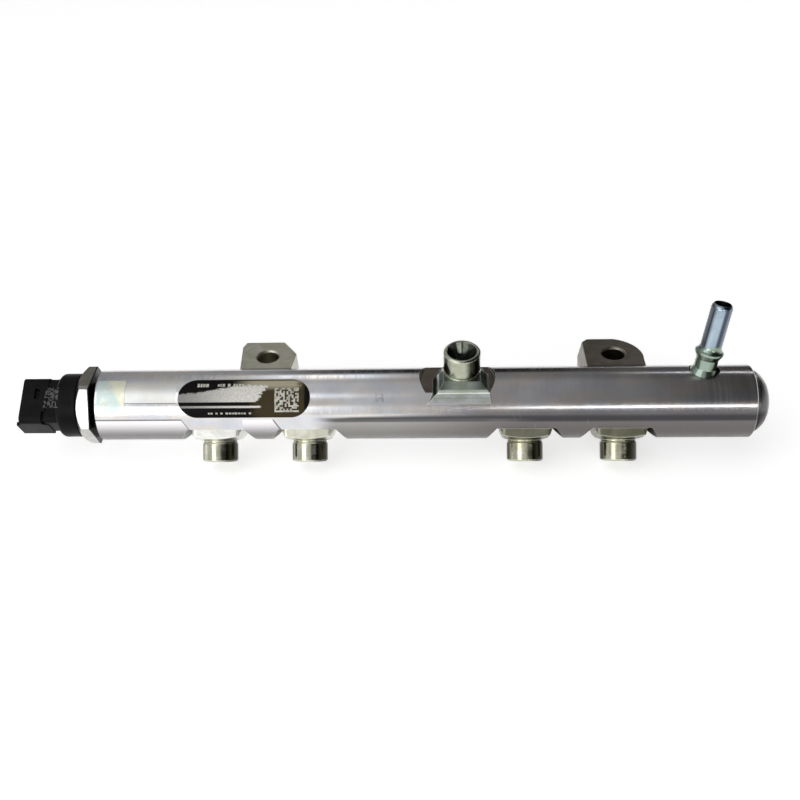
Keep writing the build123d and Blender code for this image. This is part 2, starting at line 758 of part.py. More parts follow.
# The plastic connector: a round collar, a narrower neck and the shell with its socket.
with BuildPart() as sensor_connector_shell:
    with BuildSketch(HALF_SECTION):
        with BuildLine():
            Polyline(
                (COLLAR_REAR, COLLAR_D / 2 - COLLAR_SHOULDER),
                (COLLAR_REAR, 0),
                (CHAMBER_FLOOR, 0),
                (CHAMBER_FLOOR, CHAMBER_R),
                (SPIGOT_FACE, CHAMBER_R),
                (SPIGOT_FACE, SPIGOT_D / 2 + COLLAR_FIT),
                (HEX_REAR - COLLAR_GAP, SPIGOT_D / 2 + COLLAR_FIT),
                (HEX_REAR - COLLAR_GAP, COLLAR_D / 2),
                (COLLAR_REAR + COLLAR_SHOULDER, COLLAR_D / 2),
            )
            RadiusArc(
                (COLLAR_REAR + COLLAR_SHOULDER, COLLAR_D / 2),
                (COLLAR_REAR, COLLAR_D / 2 - COLLAR_SHOULDER),
                -COLLAR_SHOULDER,
            )
        make_face()
    revolve(axis=RAIL_AXIS)
    with BuildSketch(connector_plane(COLLAR_REAR)):
        RectangleRounded(
            SHELL_WIDTH - 2 * NECK_INSET, SHELL_DEPTH - 2 * NECK_INSET, SHELL_CORNER - NECK_INSET
        )
    extrude(amount=NECK_LENGTH)
    with BuildSketch(connector_plane(NECK_REAR)):
        RectangleRounded(SHELL_WIDTH, SHELL_DEPTH, SHELL_CORNER)
    extrude(amount=SHELL_LENGTH)
    # A guiding lip under the shell stands out past the mouth.
    with BuildSketch(connector_plane(NECK_REAR + LIP_START)):
        with Locations(((SHELL_WIDTH - LIP_THICKNESS) / 2, -LIP_BACKSET)):
            Rectangle(LIP_THICKNESS, LIP_WIDTH)
    extrude(amount=LIP_START + SHELL_LENGTH + LIP_REACH)
    # The socket, open at the mouth.
    with BuildSketch(connector_plane(NECK_REAR - SHELL_FLOOR)):
        RectangleRounded(
            SHELL_WIDTH - 2 * SHELL_WALL, SHELL_DEPTH - 2 * SHELL_WALL, SHELL_CORNER - SHELL_WALL
        )
    extrude(amount=SHELL_LENGTH, mode=Mode.SUBTRACT)
    # A step along the neck's upper edge, and a relief slot round the shell's lower corner.
    with BuildSketch(connector_plane(COLLAR_REAR)):
        with Locations((-SHELL_WIDTH / 2, SHELL_DEPTH / 2)):
            Rectangle(2 * NECK_RECESS_WIDTH, 2 * NECK_RECESS_DEPTH)
    extrude(amount=NECK_LENGTH, mode=Mode.SUBTRACT)
    with BuildSketch(connector_plane(NECK_REAR)):
        with Locations((SHELL_WIDTH / 2, SHELL_DEPTH / 2)):
            Rectangle(2 * SLOT_LENGTH, 2 * SLOT_DEPTH)
            Rectangle(2 * SLOT_DEPTH, 2 * SLOT_RETURN)
    extrude(amount=SLOT_WIDTH, mode=Mode.SUBTRACT)
    # The latch window in the front wall.
    with BuildSketch(connector_plane(MOUTH + WINDOW_FROM_MOUTH)):
        with Locations((-WINDOW_OFFSET, SHELL_DEPTH / 2)):
            Rectangle(WINDOW_LENGTH, 3 * SHELL_WALL)
    extrude(amount=WINDOW_WIDTH, mode=Mode.SUBTRACT)
    # Slots that hold the three terminals.
    with BuildSketch(connector_plane(CHAMBER_FLOOR)):
        with GridLocations(CONTACT_PITCH, 0, 3, 1):
            Rectangle(TERMINAL_WIDTH + 2 * TERMINAL_FIT, TERMINAL_THICKNESS + 2 * TERMINAL_FIT)
    extrude(amount=CHAMBER_FLOOR - NECK_REAR + SHELL_FLOOR, mode=Mode.SUBTRACT)
write(sensor_connector_shell, "sensor_connector_shell")

# ------------------------------------------------------------------ relief valve

ORIFICE_END = CHAMBER_START + ORIFICE_LENGTH
SEAT_LENGTH = (GUIDE_D - ORIFICE_D) / 2 / tan(radians(SEAT_HALF_ANGLE))
VALVE_BODY_END = CHAMBER_START + VALVE_BODY_LENGTH

# The valve body is pressed against the chamber's shoulder.
with BuildPart() as valve_body:
    with BuildSketch(HALF_SECTION):
        with BuildLine():
            Polyline(
                (CHAMBER_START, ORIFICE_D / 2),
                (CHAMBER_START, CHAMBER_D / 2 - PRESS_FIT),
                (VALVE_BODY_END, CHAMBER_D / 2 - PRESS_FIT),
                (VALVE_BODY_END, GUIDE_D / 2),
                (ORIFICE_END + SEAT_LENGTH, GUIDE_D / 2),
                (ORIFICE_END, ORIFICE_D / 2),
                close=True,
            )
        make_face()
    revolve(axis=RAIL_AXIS)
write(valve_body, "valve_body")

# The plunger: a cone, a flatted guide, the spring's collar and a pilot that stops the lift.
LAND_R = GUIDE_D / 2 - RUNNING_FIT
SEAT_SHIFT = SEAT_GAP / sin(radians(SEAT_HALF_ANGLE))
TIP_STATION = (
    ORIFICE_END
    + SEAT_SHIFT
    - (ORIFICE_D - PLUNGER_TIP_D) / 2 / tan(radians(SEAT_HALF_ANGLE))
)
LAND_STATION = TIP_STATION + (LAND_R - PLUNGER_TIP_D / 2) / tan(radians(SEAT_HALF_ANGLE))
COLLAR_FRONT = VALVE_BODY_END + PLUNGER_COLLAR_GAP
COLLAR_BACK = COLLAR_FRONT + PLUNGER_COLLAR_LENGTH
PLUG_STEM_END = PLUG_SHOULDER + PLUG_END_GAP
POCKET_END = PLUG_STEM_END + PLUG_POCKET_DEPTH
SHIM_FACE = POCKET_END - SHIM_THICKNESS
PILOT_END = SHIM_FACE - PLUNGER_STROKE - STOP_SPARE
with BuildPart() as valve_plunger:
    with BuildSketch(HALF_SECTION):
        with BuildLine():
            Polyline(
                (TIP_STATION, 0),
                (TIP_STATION, PLUNGER_TIP_D / 2),
                (LAND_STATION, LAND_R),
                (COLLAR_FRONT, LAND_R),
                (COLLAR_FRONT, PLUNGER_COLLAR_D / 2),
                (COLLAR_BACK, PLUNGER_COLLAR_D / 2),
                (COLLAR_BACK, PLUNGER_PILOT_D / 2),
                (PILOT_END, PLUNGER_PILOT_D / 2),
                (PILOT_END, 0),
                close=True,
            )
        make_face()
    revolve(axis=RAIL_AXIS)
    with BuildSketch(across(TIP_STATION)):
        with PolarLocations(2 * LAND_R - PLUNGER_FLAT_DEPTH, PLUNGER_FLATS):
            Rectangle(2 * LAND_R, 4 * LAND_R)
    extrude(amount=COLLAR_FRONT - TIP_STATION, mode=Mode.SUBTRACT)
write(valve_plunger, "valve_plunger")

valve_spring = coil_spring(
    across(COLLAR_BACK),
    SHIM_FACE - COLLAR_BACK,
    SPRING_D,
    SPRING_WIRE_D,
    SPRING_COILS,
    SPRING_GROUND,
)
write(valve_spring, "valve_spring")

# The shim sets the opening pressure, and lies on the floor of the plug's pocket.
with BuildPart() as spring_shim:
    with BuildSketch(across(SHIM_FACE)):
        Circle(PLUG_POCKET_D / 2 - SHIM_FIT)
        Circle(SHIM_BORE_D / 2, mode=Mode.SUBTRACT)
    extrude(amount=SHIM_THICKNESS)
write(spring_shim, "spring_shim")

# ------------------------------------------------------------------ end plug

GROOVE_FRONT = PLUG_STEM_END + PLUG_GROOVE_LAND
PLUG_END = BARREL_LENGTH + PLUG_HEAD_LENGTH
with BuildPart() as end_plug:
    with BuildSketch(HALF_SECTION):
        with BuildLine():
            Polyline(
                (PLUG_STEM_END, PLUG_POCKET_D / 2),
                (PLUG_STEM_END, SOCKET_STEM_R),
                (GROOVE_FRONT, SOCKET_STEM_R),
                (GROOVE_FRONT, PLUG_GROOVE_D / 2),
                (GROOVE_FRONT + PLUG_GROOVE_WIDTH, PLUG_GROOVE_D / 2),
                (GROOVE_FRONT + PLUG_GROOVE_WIDTH, SOCKET_STEM_R),
                (BARREL_LENGTH, SOCKET_STEM_R),
                (BARREL_LENGTH, PLUG_HEAD_D / 2),
                (BARREL_LENGTH + PLUG_HEAD_RIM, PLUG_HEAD_D / 2),
            )
            SagittaArc(
                (BARREL_LENGTH + PLUG_HEAD_RIM, PLUG_HEAD_D / 2),
                (PLUG_END, PLUG_CROWN_D / 2),
                PLUG_CROWN_SAG,
            )
            Polyline(
                (PLUG_END, PLUG_CROWN_D / 2),
                (PLUG_END, 0),
                (POCKET_END, 0),
                (POCKET_END, PLUG_POCKET_D / 2),
                (PLUG_STEM_END, PLUG_POCKET_D / 2),
            )
        make_face()
    revolve(axis=RAIL_AXIS)
    with BuildSketch(across(PLUG_END)):
        RegularPolygon(PLUG_HEX_ACROSS_FLATS / 2, 6, major_radius=False)
    extrude(amount=-PLUG_HEX_DEPTH, mode=Mode.SUBTRACT)
write(end_plug, "end_plug")

with BuildPart() as plug_seal_ring:
    with BuildSketch(HALF_SECTION):
        with Locations(
            (
                GROOVE_FRONT + PLUG_GROOVE_WIDTH / 2,
                PLUG_GROOVE_D / 2 + SEAL_FIT + PLUG_RING_SECTION_D / 2,
            )
        ):
            Circle(PLUG_RING_SECTION_D / 2)
    revolve(axis=RAIL_AXIS)
write(plug_seal_ring, "plug_seal_ring")

# ------------------------------------------------------------------ return spigot

STUB_END = RETURN_FACE - RETURN_STUB_LENGTH
NECK_START = RETURN_FACE + RETURN_FOOT_HEIGHT
BEAD_LOW = RETURN_BEAD - RETURN_BEAD_RIM / 2
BEAD_HIGH = RETURN_BEAD + RETURN_BEAD_RIM / 2
TUBE_R = RETURN_TUBE_D / 2
with BuildPart() as return_spigot:
    with BuildSketch(port_section(RETURN_PLANE)):
        with BuildLine():
            Polyline(
                (TUBE_R - RETURN_TIP_INSET, RETURN_REACH),
                (RETURN_MOUTH_D / 2, RETURN_REACH),
                (RETURN_MOUTH_D / 2, BEAD_HIGH),
                (RETURN_BORE_D / 2, BEAD_LOW),
                (RETURN_BORE_D / 2, STUB_END),
                (RETURN_STUB_D / 2 - PRESS_FIT, STUB_END),
                (RETURN_STUB_D / 2 - PRESS_FIT, RETURN_FACE),
                (RETURN_FOOT_D / 2, RETURN_FACE),
                (RETURN_FOOT_D / 2, RETURN_FACE + RETURN_FOOT_RIM),
                (RETURN_NECK_D / 2, NECK_START),
                (RETURN_NECK_D / 2, BEAD_LOW - RETURN_BEAD_CONE),
                (RETURN_BEAD_D / 2, BEAD_LOW),
                (RETURN_BEAD_D / 2, BEAD_HIGH),
            )
            TangentArc(
                (TUBE_R, BEAD_HIGH + RETURN_BEAD_FLARE),
                (RETURN_BEAD_D / 2, BEAD_HIGH),
                tangent=(0, -1),
            )
            Line(
                (TUBE_R, BEAD_HIGH + RETURN_BEAD_FLARE),
                (TUBE_R, RETURN_REACH - RETURN_TIP_LENGTH),
            )
            TangentArc(
                (TUBE_R, RETURN_REACH - RETURN_TIP_LENGTH),
                (TUBE_R - RETURN_TIP_INSET, RETURN_REACH),
                tangent=(0, 1),
            )
        make_face()
    revolve(axis=port_axis(RETURN_PLANE))
write(return_spigot, "return_spigot")

# ------------------------------------------------------------------ labels


def wrapped_label(start, length, around, height, rounded):
    """Return a thin label that follows the barrel."""
    inner_r = BARREL_R + LABEL_GLUE
    with BuildPart() as label:
        with BuildSketch(port_plane(start + length / 2, around)):
            if rounded:
                SlotOverall(length, height)
            else:
                Rectangle(length, height)
        extrude(amount=BARREL_D)
        with BuildSketch(across(start)):
            Circle(inner_r + LABEL_THICKNESS)
            Circle(inner_r, mode=Mode.SUBTRACT)
        extrude(amount=length, mode=Mode.INTERSECT)
    return label


security_label = wrapped_label(
    SECURITY_LABEL_START,
    SECURITY_LABEL_LENGTH,
    SECURITY_LABEL_ANGLE,
    SECURITY_LABEL_HEIGHT,
    rounded=False,
)
write(security_label, "security_label")
data_label = wrapped_label(
    DATA_LABEL_START,
    DATA_LABEL_LENGTH,
    DATA_LABEL_ANGLE,
    DATA_LABEL_HEIGHT,
    rounded=True,
)
write(data_label, "data_label")
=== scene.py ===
"""Fuel rail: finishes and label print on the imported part, with a studio and a camera."""

import json
import logging
import math
import random
from dataclasses import dataclass, field
from enum import Enum
from functools import cached_property, reduce

import bpy
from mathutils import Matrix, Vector

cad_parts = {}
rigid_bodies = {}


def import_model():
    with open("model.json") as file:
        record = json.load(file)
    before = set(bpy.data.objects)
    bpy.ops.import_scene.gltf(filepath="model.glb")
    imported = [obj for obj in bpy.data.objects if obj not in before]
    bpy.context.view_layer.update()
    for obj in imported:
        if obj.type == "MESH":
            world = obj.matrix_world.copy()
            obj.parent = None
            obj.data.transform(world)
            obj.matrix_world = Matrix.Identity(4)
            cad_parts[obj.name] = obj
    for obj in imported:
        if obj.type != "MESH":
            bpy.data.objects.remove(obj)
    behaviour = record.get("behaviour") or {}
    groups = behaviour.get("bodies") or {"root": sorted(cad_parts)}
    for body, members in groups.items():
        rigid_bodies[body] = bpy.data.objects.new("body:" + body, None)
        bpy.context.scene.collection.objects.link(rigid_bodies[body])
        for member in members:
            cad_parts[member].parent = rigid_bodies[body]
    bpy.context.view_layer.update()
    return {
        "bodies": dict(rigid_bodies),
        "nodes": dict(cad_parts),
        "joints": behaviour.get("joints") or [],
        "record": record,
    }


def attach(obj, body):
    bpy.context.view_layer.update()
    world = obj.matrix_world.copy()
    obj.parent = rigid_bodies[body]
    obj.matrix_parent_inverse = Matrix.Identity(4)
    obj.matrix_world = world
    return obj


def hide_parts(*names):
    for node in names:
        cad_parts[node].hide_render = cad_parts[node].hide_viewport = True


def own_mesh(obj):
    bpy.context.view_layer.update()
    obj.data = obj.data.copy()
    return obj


LOG = logging.getLogger("fuel_rail")

Colour = tuple[float, float, float]
Point = tuple[float, float, float]
Range = tuple[float, float]
Band = tuple[float, float, float]  # The two limits, and half the width of the soft edges.
Grain = tuple[float, float, float]  # A noise's scale, detail and roughness.
Sweep = tuple[float, float, float, float]  # A range, and the answers at its two ends.
Area = tuple[float, float, float, float]  # Left, right, bottom and top, in mm.
Socket = bpy.types.NodeSocket
Node = bpy.types.Node

MM = 0.001
WHITE: Colour = (1.0, 1.0, 1.0)
ALONG: Point = (1.0, 0.0, 0.0)
RAIL_START: Point = (-134.7 * MM, -16.1 * MM, 14.5 * MM)
OUTLET_TILT = math.radians(35.6)
UP: Point = (0.0, math.sin(OUTLET_TILT), math.cos(OUTLET_TILT))
BACK: Point = (0.0, math.cos(OUTLET_TILT), -math.sin(OUTLET_TILT))
OUTLET_STATIONS = (47.5, 83.5, 168.0, 204.0)
OUTLET_PITCH = OUTLET_STATIONS[1] - OUTLET_STATIONS[0]
BETWEEN_PAIRS = 125.0
INLET_STATION = 143.4
INLET_UP: Range = (-0.656, 0.7547)
STUD_REACH = 7.3
BARREL_RADIUS = 14.0
BARREL_LENGTH = 253.6


class Marks(Enum):
    """How a metal surface was last worked, as the run of its fine marks."""

    TURNED = (9.0, 0.35, 0.35)
    MILLED = (2.2, 2.2, 0.3)
    FORGED = (1.6, 1.6, 1.6)
    DRAWN = (0.5, 7.0, 7.0)


class Web:
    """A node tree with short calls for the nodes that the finishes share."""

    def __init__(self, tree: bpy.types.NodeTree) -> None:
        """Keep the tree to build in."""
        self.tree = tree

    def add(self, kind: str, **settings: object) -> Node:
        """Add a node.

        Args:
            kind: The node's Blender type.
            settings: Properties to set on it.

        Returns:
            The new node.
        """
        node = self.tree.nodes.new(kind)
        for name, value in settings.items():
            setattr(node, name, value)
        return node

    def feed(self, socket: Socket, value: object) -> None:
        """Link a socket to another one, or set its own value.

        Args:
            socket: The input to feed.
            value: A socket, a number, a colour or a vector.
        """
        if isinstance(value, bpy.types.NodeSocket):
            self.tree.links.new(value, socket)
        elif socket.type == "RGBA" and len(value) == 3:
            socket.default_value = (*value, 1.0)
        else:
            socket.default_value = value

    def fill(self, node: Node, *values: object, **named: object) -> Node:
        """Feed some of a node's inputs.

        Args:
            node: The node to feed.
            values: Its first inputs in order.
            named: Inputs by name, with spaces written as underscores.

        Returns:
            The same node.
        """
        for socket, value in zip(node.inputs, values):
            self.feed(socket, value)
        for name, value in named.items():
            self.feed(node.inputs[name.replace("_", " ")], value)
        return node

    def math(self, operation: str, *values: object) -> Socket:
        """Work out a number from a Math node's inputs in order."""
        return self.fill(self.add("ShaderNodeMath", operation=operation), *values).outputs[0]

    def times(self, *values: object) -> Socket:
        """Return the product of some numbers."""
        return reduce(lambda one, other: self.math("MULTIPLY", one, other), values)

    def distance(self, one: Socket, other: Socket) -> Socket:
        """Return the distance that two measures at right angles make."""
        square = self.times(other, other)
        return self.math("SQRT", self.math("MULTIPLY_ADD", one, one, square))

    def vector(self, operation: str, *values: object, **named: object) -> Socket:
        """Work out a vector, or the number that a dot product gives."""
        node = self.fill(self.add("ShaderNodeVectorMath", operation=operation), *values, **named)
        return node.outputs["Value" if operation == "DOT_PRODUCT" else "Vector"]

    def blend(self, factor: object, low: object, high: object, mode: str = "MIX") -> Socket:
        """Mix two colours.

        Args:
            factor: How much of the second colour shows.
            low: The first colour.
            high: The second colour.
            mode: The blend type.

        Returns:
            The mixed colour's socket.
        """
        node = self.add("ShaderNodeMix", data_type="RGBA", blend_type=mode)
        for index, value in ((0, factor), (6, low), (7, high)):
            self.feed(node.inputs[index], value)
        return node.outputs[2]

    def span(
        self, value: object, low: float, high: float, at_low: float = 0.0, at_high: float = 1.0
    ) -> Socket:
        """Map a value smoothly from one range to another."""
        node = self.add("ShaderNodeMapRange", interpolation_type="SMOOTHSTEP")
        return self.fill(node, value, low, high, at_low, at_high).outputs["Result"]

    def band(self, value: Socket, low: float, high: float, soft: float = 0.2) -> Socket:
        """Mask the values between two limits, with edges soft to both sides."""
        enters = self.span(value, low - soft, low + soft)
        return self.times(enters, self.span(value, high + soft, high - soft))

    def noise(
        self, place: Socket, scale: object, detail: float, rough: float = 0.5, warp: float = 0.0
    ) -> Socket:
        """Read smooth noise of some scale, detail, roughness and distortion."""
        node = self.fill(
            self.add("ShaderNodeTexNoise"),
            Vector=place,
            Scale=scale,
            Detail=detail,
            Roughness=rough,
            Distortion=warp,
        )
        return node.outputs["Fac"]

    def bump(self, height: Socket, strength: float, depth: float, normal: Socket) -> Socket:
        """Return a normal with relief cut into it, of some depth in mm."""
        node = self.fill(
            self.add("ShaderNodeBump"),
            Strength=strength,
            Distance=depth * MM,
            Height=height,
            Normal=normal,
        )
        return node.outputs[0]

    def group(self, tree: bpy.types.NodeTree, **values: object) -> bpy.types.NodeOutputs:
        """Place a shared effect with inputs by name, and return its outputs."""
        return self.fill(self.add("ShaderNodeGroup", node_tree=tree), **values).outputs


SOCKETS = {"value": "NodeSocketFloat", "colour": "NodeSocketColor", "vector": "NodeSocketVector"}
PLACE_INPUT = ("vector", (0.0, 0.0, 0.0))


@dataclass
class Effects:
    """Node groups for effects that more than one finish uses, each built once."""

    crest: Range = (0.995, 0.9)
    fine_grain: Grain = (1.0, 4.0, 0.65)
    broad_grain: Grain = (0.17, 2.0, 0.5)
    broad_share: float = 0.6
    marked: Range = (0.35, 0.68)
    cloud_detail: float = 5.0
    cloud_warp: float = 0.8
    clouded: Range = (0.32, 0.68)
    line_scale: float = 0.35
    line_bend: float = 0.6
    scratch_line: Range = (0.992, 0.999)
    scratch_patch: Range = (0.62, 0.70)
    patch_grain: Range = (0.23, 2.0)
    speck_scale: float = 0.55
    speck: Range = (0.11, 0.05)

    def start(
        self, name: str, inputs: dict[str, tuple[str, object]], outputs: dict[str, str]
    ) -> tuple[Web, bpy.types.NodeOutputs, Node]:
        """Start a node group with its named sockets.

        Args:
            name: The group's name.
            inputs: For each input, its kind and its usual value.
            outputs: For each output, its kind.

        Returns:
            The group's web, what it is given and its output node.
        """
        tree = bpy.data.node_groups.new(name, "ShaderNodeTree")
        for label, (kind, usual) in inputs.items():
            socket = tree.interface.new_socket(
                name=label, in_out="INPUT", socket_type=SOCKETS[kind]
            )
            socket.default_value = (*usual, 1.0) if kind == "colour" else usual
        for label, kind in outputs.items():
            tree.interface.new_socket(name=label, in_out="OUTPUT", socket_type=SOCKETS[kind])
        web = Web(tree)
        return web, web.add("NodeGroupInput").outputs, web.add("NodeGroupOutput")

    @cached_property
    def rail_place(self) -> bpy.types.NodeTree:
        """The group that tells where a point lies along and round the rail, in mm."""
        measures = dict.fromkeys(("Station", "Depth", "Height", "Radius"), "value")
        web, _, out = self.start("rail_place", {}, {"Place": "vector", **measures})
        here = web.add("ShaderNodeTexCoord").outputs["Object"]
        rel = web.vector("SCALE", web.vector("SUBTRACT", here, RAIL_START), Scale=1 / MM)
        spot = [web.vector("DOT_PRODUCT", rel, axis) for axis in (ALONG, BACK, UP)]
        place = web.fill(web.add("ShaderNodeCombineXYZ"), *spot)
        web.fill(out, place.outputs[0], *spot, web.distance(spot[1], spot[2]))
        return web.tree

    @cached_property
    def edge_wear(self) -> bpy.types.NodeTree:
        """The group that rounds sharp edges a little and masks their rubbed crests."""
        web, given, out = self.start(
            "edge_wear",
            {"Width": ("value", 0.3 * MM), "Amount": ("value", 1.0)},
            {"Mask": "value", "Normal": "vector"},
        )
        bevel = web.fill(web.add("ShaderNodeBevel", samples=6), Radius=given["Width"])
        flat = web.add("ShaderNodeNewGeometry").outputs["Normal"]
        turn = web.vector("DOT_PRODUCT", bevel.outputs[0], flat)
        mask = web.times(web.span(turn, *self.crest), given["Amount"])
        web.fill(out, Mask=mask, Normal=bevel.outputs[0])
        return web.tree

    @cached_property
    def fine_marks(self) -> bpy.types.NodeTree:
        """The group for fine marks that run across one direction, with their height."""
        web, given, out = self.start(
            "fine_marks",
            {"Place": PLACE_INPUT, "Run": ("vector", (1.0, 1.0, 1.0))},
            {"Height": "value", "Mask": "value"},
        )
        place = web.vector("MULTIPLY", given["Place"], given["Run"])
        fine = web.noise(place, *self.fine_grain)
        broad = web.noise(place, *self.broad_grain)
        height = web.math("MULTIPLY_ADD", broad, self.broad_share, fine)
        web.fill(out, Height=height, Mask=web.span(broad, *self.marked))
        return web.tree

    @cached_property
    def plating(self) -> bpy.types.NodeTree:
        """The group that clouds a plated surface between two colours."""
        web, given, out = self.start(
            "plating",
            {
                "Place": PLACE_INPUT,
                "Scale": ("value", 0.1),
                "Light": ("colour", (0.6, 0.6, 0.6)),
                "Dark": ("colour", (0.4, 0.4, 0.4)),
            },
            {"Colour": "colour", "Mask": "value"},
        )
        cloud = web.noise(given["Place"], given["Scale"], self.cloud_detail, warp=self.cloud_warp)
        mask = web.span(cloud, *self.clouded)
        web.fill(out, Colour=web.blend(mask, given["Dark"], given["Light"]), Mask=mask)
        return web.tree

    @cached_property
    def handling(self) -> bpy.types.NodeTree:
        """The group for small scratches and specks of dust left by handling."""
        web, given, out = self.start(
            "handling",
            {"Place": PLACE_INPUT, "Scale": ("value", 1.0)},
            {"Scratches": "value", "Specks": "value"},
        )
        place = web.vector("SCALE", given["Place"], Scale=given["Scale"])
        lines = web.fill(
            web.add("ShaderNodeTexWave", bands_direction="DIAGONAL"),
            Vector=place,
            Scale=self.line_scale,
            Distortion=self.line_bend,
            Detail=1.0,
        )
        patch = web.span(web.noise(place, *self.patch_grain), *self.scratch_patch)
        line = web.span(lines.outputs["Fac"], *self.scratch_line)
        dots = web.add("ShaderNodeTexVoronoi")
        web.fill(dots, Vector=place, Scale=self.speck_scale)
        specks = web.span(dots.outputs["Distance"], *self.speck)
        web.fill(out, Scratches=web.times(line, patch), Specks=specks)
        return web.tree


EFFECTS = Effects()


def fresh(name: str) -> tuple[bpy.types.Material, "Spot", Node]:
    """Start a node material.

    Args:
        name: The material's name.

    Returns:
        The material, the place that it reads and its Principled BSDF, joined to the output.
    """
    material = bpy.data.materials.new(name)
    material.use_nodes = True
    web = Web(material.node_tree)
    web.tree.nodes.clear()
    shader = web.add("ShaderNodeBsdfPrincipled")
    web.fill(web.add("ShaderNodeOutputMaterial"), Surface=shader.outputs[0])
    return material, Spot.read(web), shader


@dataclass(frozen=True)
class Spot:
    """Where a point lies on the rail, in mm: along it, behind it and over its axis."""

    web: Web
    place: Socket
    station: Socket
    depth: Socket
    height: Socket
    radius: Socket
    shaded_flank_turns: tuple[Range, Range] = ((0.05, 0.50), (-0.72, -0.95))

    @classmethod
    def read(cls, web: Web) -> "Spot":
        """Return the sockets of a point's place in a material's web."""
        return cls(web, *web.group(EFFECTS.rail_place))

    @cached_property
    def away(self) -> Socket:
        """The signed distance along the rail from the nearest outlet."""
        web = self.web
        second_pair = web.math("GREATER_THAN", self.station, BETWEEN_PAIRS)
        shift = OUTLET_STATIONS[2] - OUTLET_STATIONS[0]
        first = web.math("MULTIPLY_ADD", second_pair, shift, OUTLET_STATIONS[0])
        along = web.math("SUBTRACT", self.station, first)
        return web.math("WRAP", along, OUTLET_PITCH / 2, -OUTLET_PITCH / 2)

    @cached_property
    def near(self) -> Socket:
        """Whether an outlet is near."""
        web = self.web
        near: object = 0.0
        for first in (OUTLET_STATIONS[0], OUTLET_STATIONS[2]):
            middle = web.math("SUBTRACT", self.station, first + OUTLET_PITCH / 2)
            within = web.math("LESS_THAN", web.math("ABSOLUTE", middle), OUTLET_PITCH)
            near = web.math("MAXIMUM", within, near)
        return near

    @cached_property
    def from_outlet(self) -> Socket:
        """The distance from the nearest outlet's axis."""
        return self.web.distance(self.away, self.depth)

    @cached_property
    def from_inlet(self) -> Socket:
        """The distance from the inlet's axis."""
        web = self.web
        across = web.times(self.depth, INLET_UP[1])
        across = web.math("MULTIPLY_ADD", self.height, -INLET_UP[0], across)
        return web.distance(web.math("SUBTRACT", self.station, INLET_STATION), across)

    @cached_property
    def up_inlet(self) -> Socket:
        """The distance out along the inlet's axis."""
        along = self.web.times(self.depth, INLET_UP[0])
        return self.web.math("MULTIPLY_ADD", self.height, INLET_UP[1], along)

    @cached_property
    def faces_inlet(self) -> Socket:
        """How far a face looks along the inlet's axis, from -1 to 1."""
        return self.facing([INLET_UP[0] * b + INLET_UP[1] * u for b, u in zip(BACK, UP)])

    @cached_property
    def rightward(self) -> Socket:
        """How far a face looks along the rail, from -1 to 1."""
        return self.facing(ALONG)

    @cached_property
    def shaded_flank(self) -> Socket:
        """The mask of a turned stud's flanks, darkened as painted shade standing in for a dark
        reflection.
        """
        return self.web.math(
            "MAXIMUM", *(self.web.span(self.rightward, *turn) for turn in self.shaded_flank_turns)
        )

    def facing(self, axis: Point) -> Socket:
        """Return how far a face looks along an axis, from -1 to 1."""
        normal = self.web.add("ShaderNodeNewGeometry").outputs["Normal"]
        return self.web.vector("DOT_PRODUCT", normal, axis)

    def area(self, area: Area, soft: float, front: float = 0.0) -> Socket:
        """Mask a rectangle on the front.

        Args:
            area: The rectangle.
            soft: Half the width of its soft edges, in mm.
            front: The depth that it stays in front of, in mm.

        Returns:
            The mask's socket.
        """
        left, right, low, high = area
        web = self.web
        return web.times(
            web.band(self.station, left, right, soft),
            web.band(self.height, low, high, soft),
            web.math("LESS_THAN", self.depth, front),
        )

    def cells(self, per_mm: float, share: float) -> Socket:
        """Mask square cells filled at random, seen from the front.

        Args:
            per_mm: How many cells there are in a millimetre.
            share: The chance that a cell is left empty.

        Returns:
            The mask's socket.
        """
        web = self.web
        scaled = web.vector("SCALE", self.place, Scale=per_mm)
        flat = web.vector("MULTIPLY", scaled, (1.0, 0.0, 1.0))
        chance = web.fill(web.add("ShaderNodeTexWhiteNoise"), Vector=web.vector("FLOOR", flat))
        return web.math("GREATER_THAN", chance.outputs["Value"], share)

    def clouded(self, colour: Socket, scale: float, dark: Colour) -> Socket:
        """Put soft clouds in a colour.

        Args:
            colour: The colour to cloud.
            scale: How fine the clouds are.
            dark: The tint where they are darkest.

        Returns:
            The clouded colour's socket.
        """
        web = self.web
        clouds = web.group(EFFECTS.plating, Place=self.place, Scale=scale, Light=WHITE, Dark=dark)
        return web.blend(1.0, colour, clouds["Colour"], "MULTIPLY")


class Reach(Enum):
    """The measure of a spot that a stain or painted shade is spread by."""

    STATION = "station"
    HEIGHT = "height"
    RIGHTWARD = "rightward"


@dataclass(frozen=True)
class StainOrShade:
    """A part of a metal surface that is darker or tinted, from one measure to another: stains, and
    also painted light and shade.
    """

    by: Reach
    start: float
    end: float
    colour: Colour
    amount: float = 1.0

    def mask(self, spot: Spot) -> Socket:
        """Return its mask at a spot."""
        value = getattr(spot, self.by.value)
        return spot.web.span(value, self.start, self.end, 0.0, self.amount)


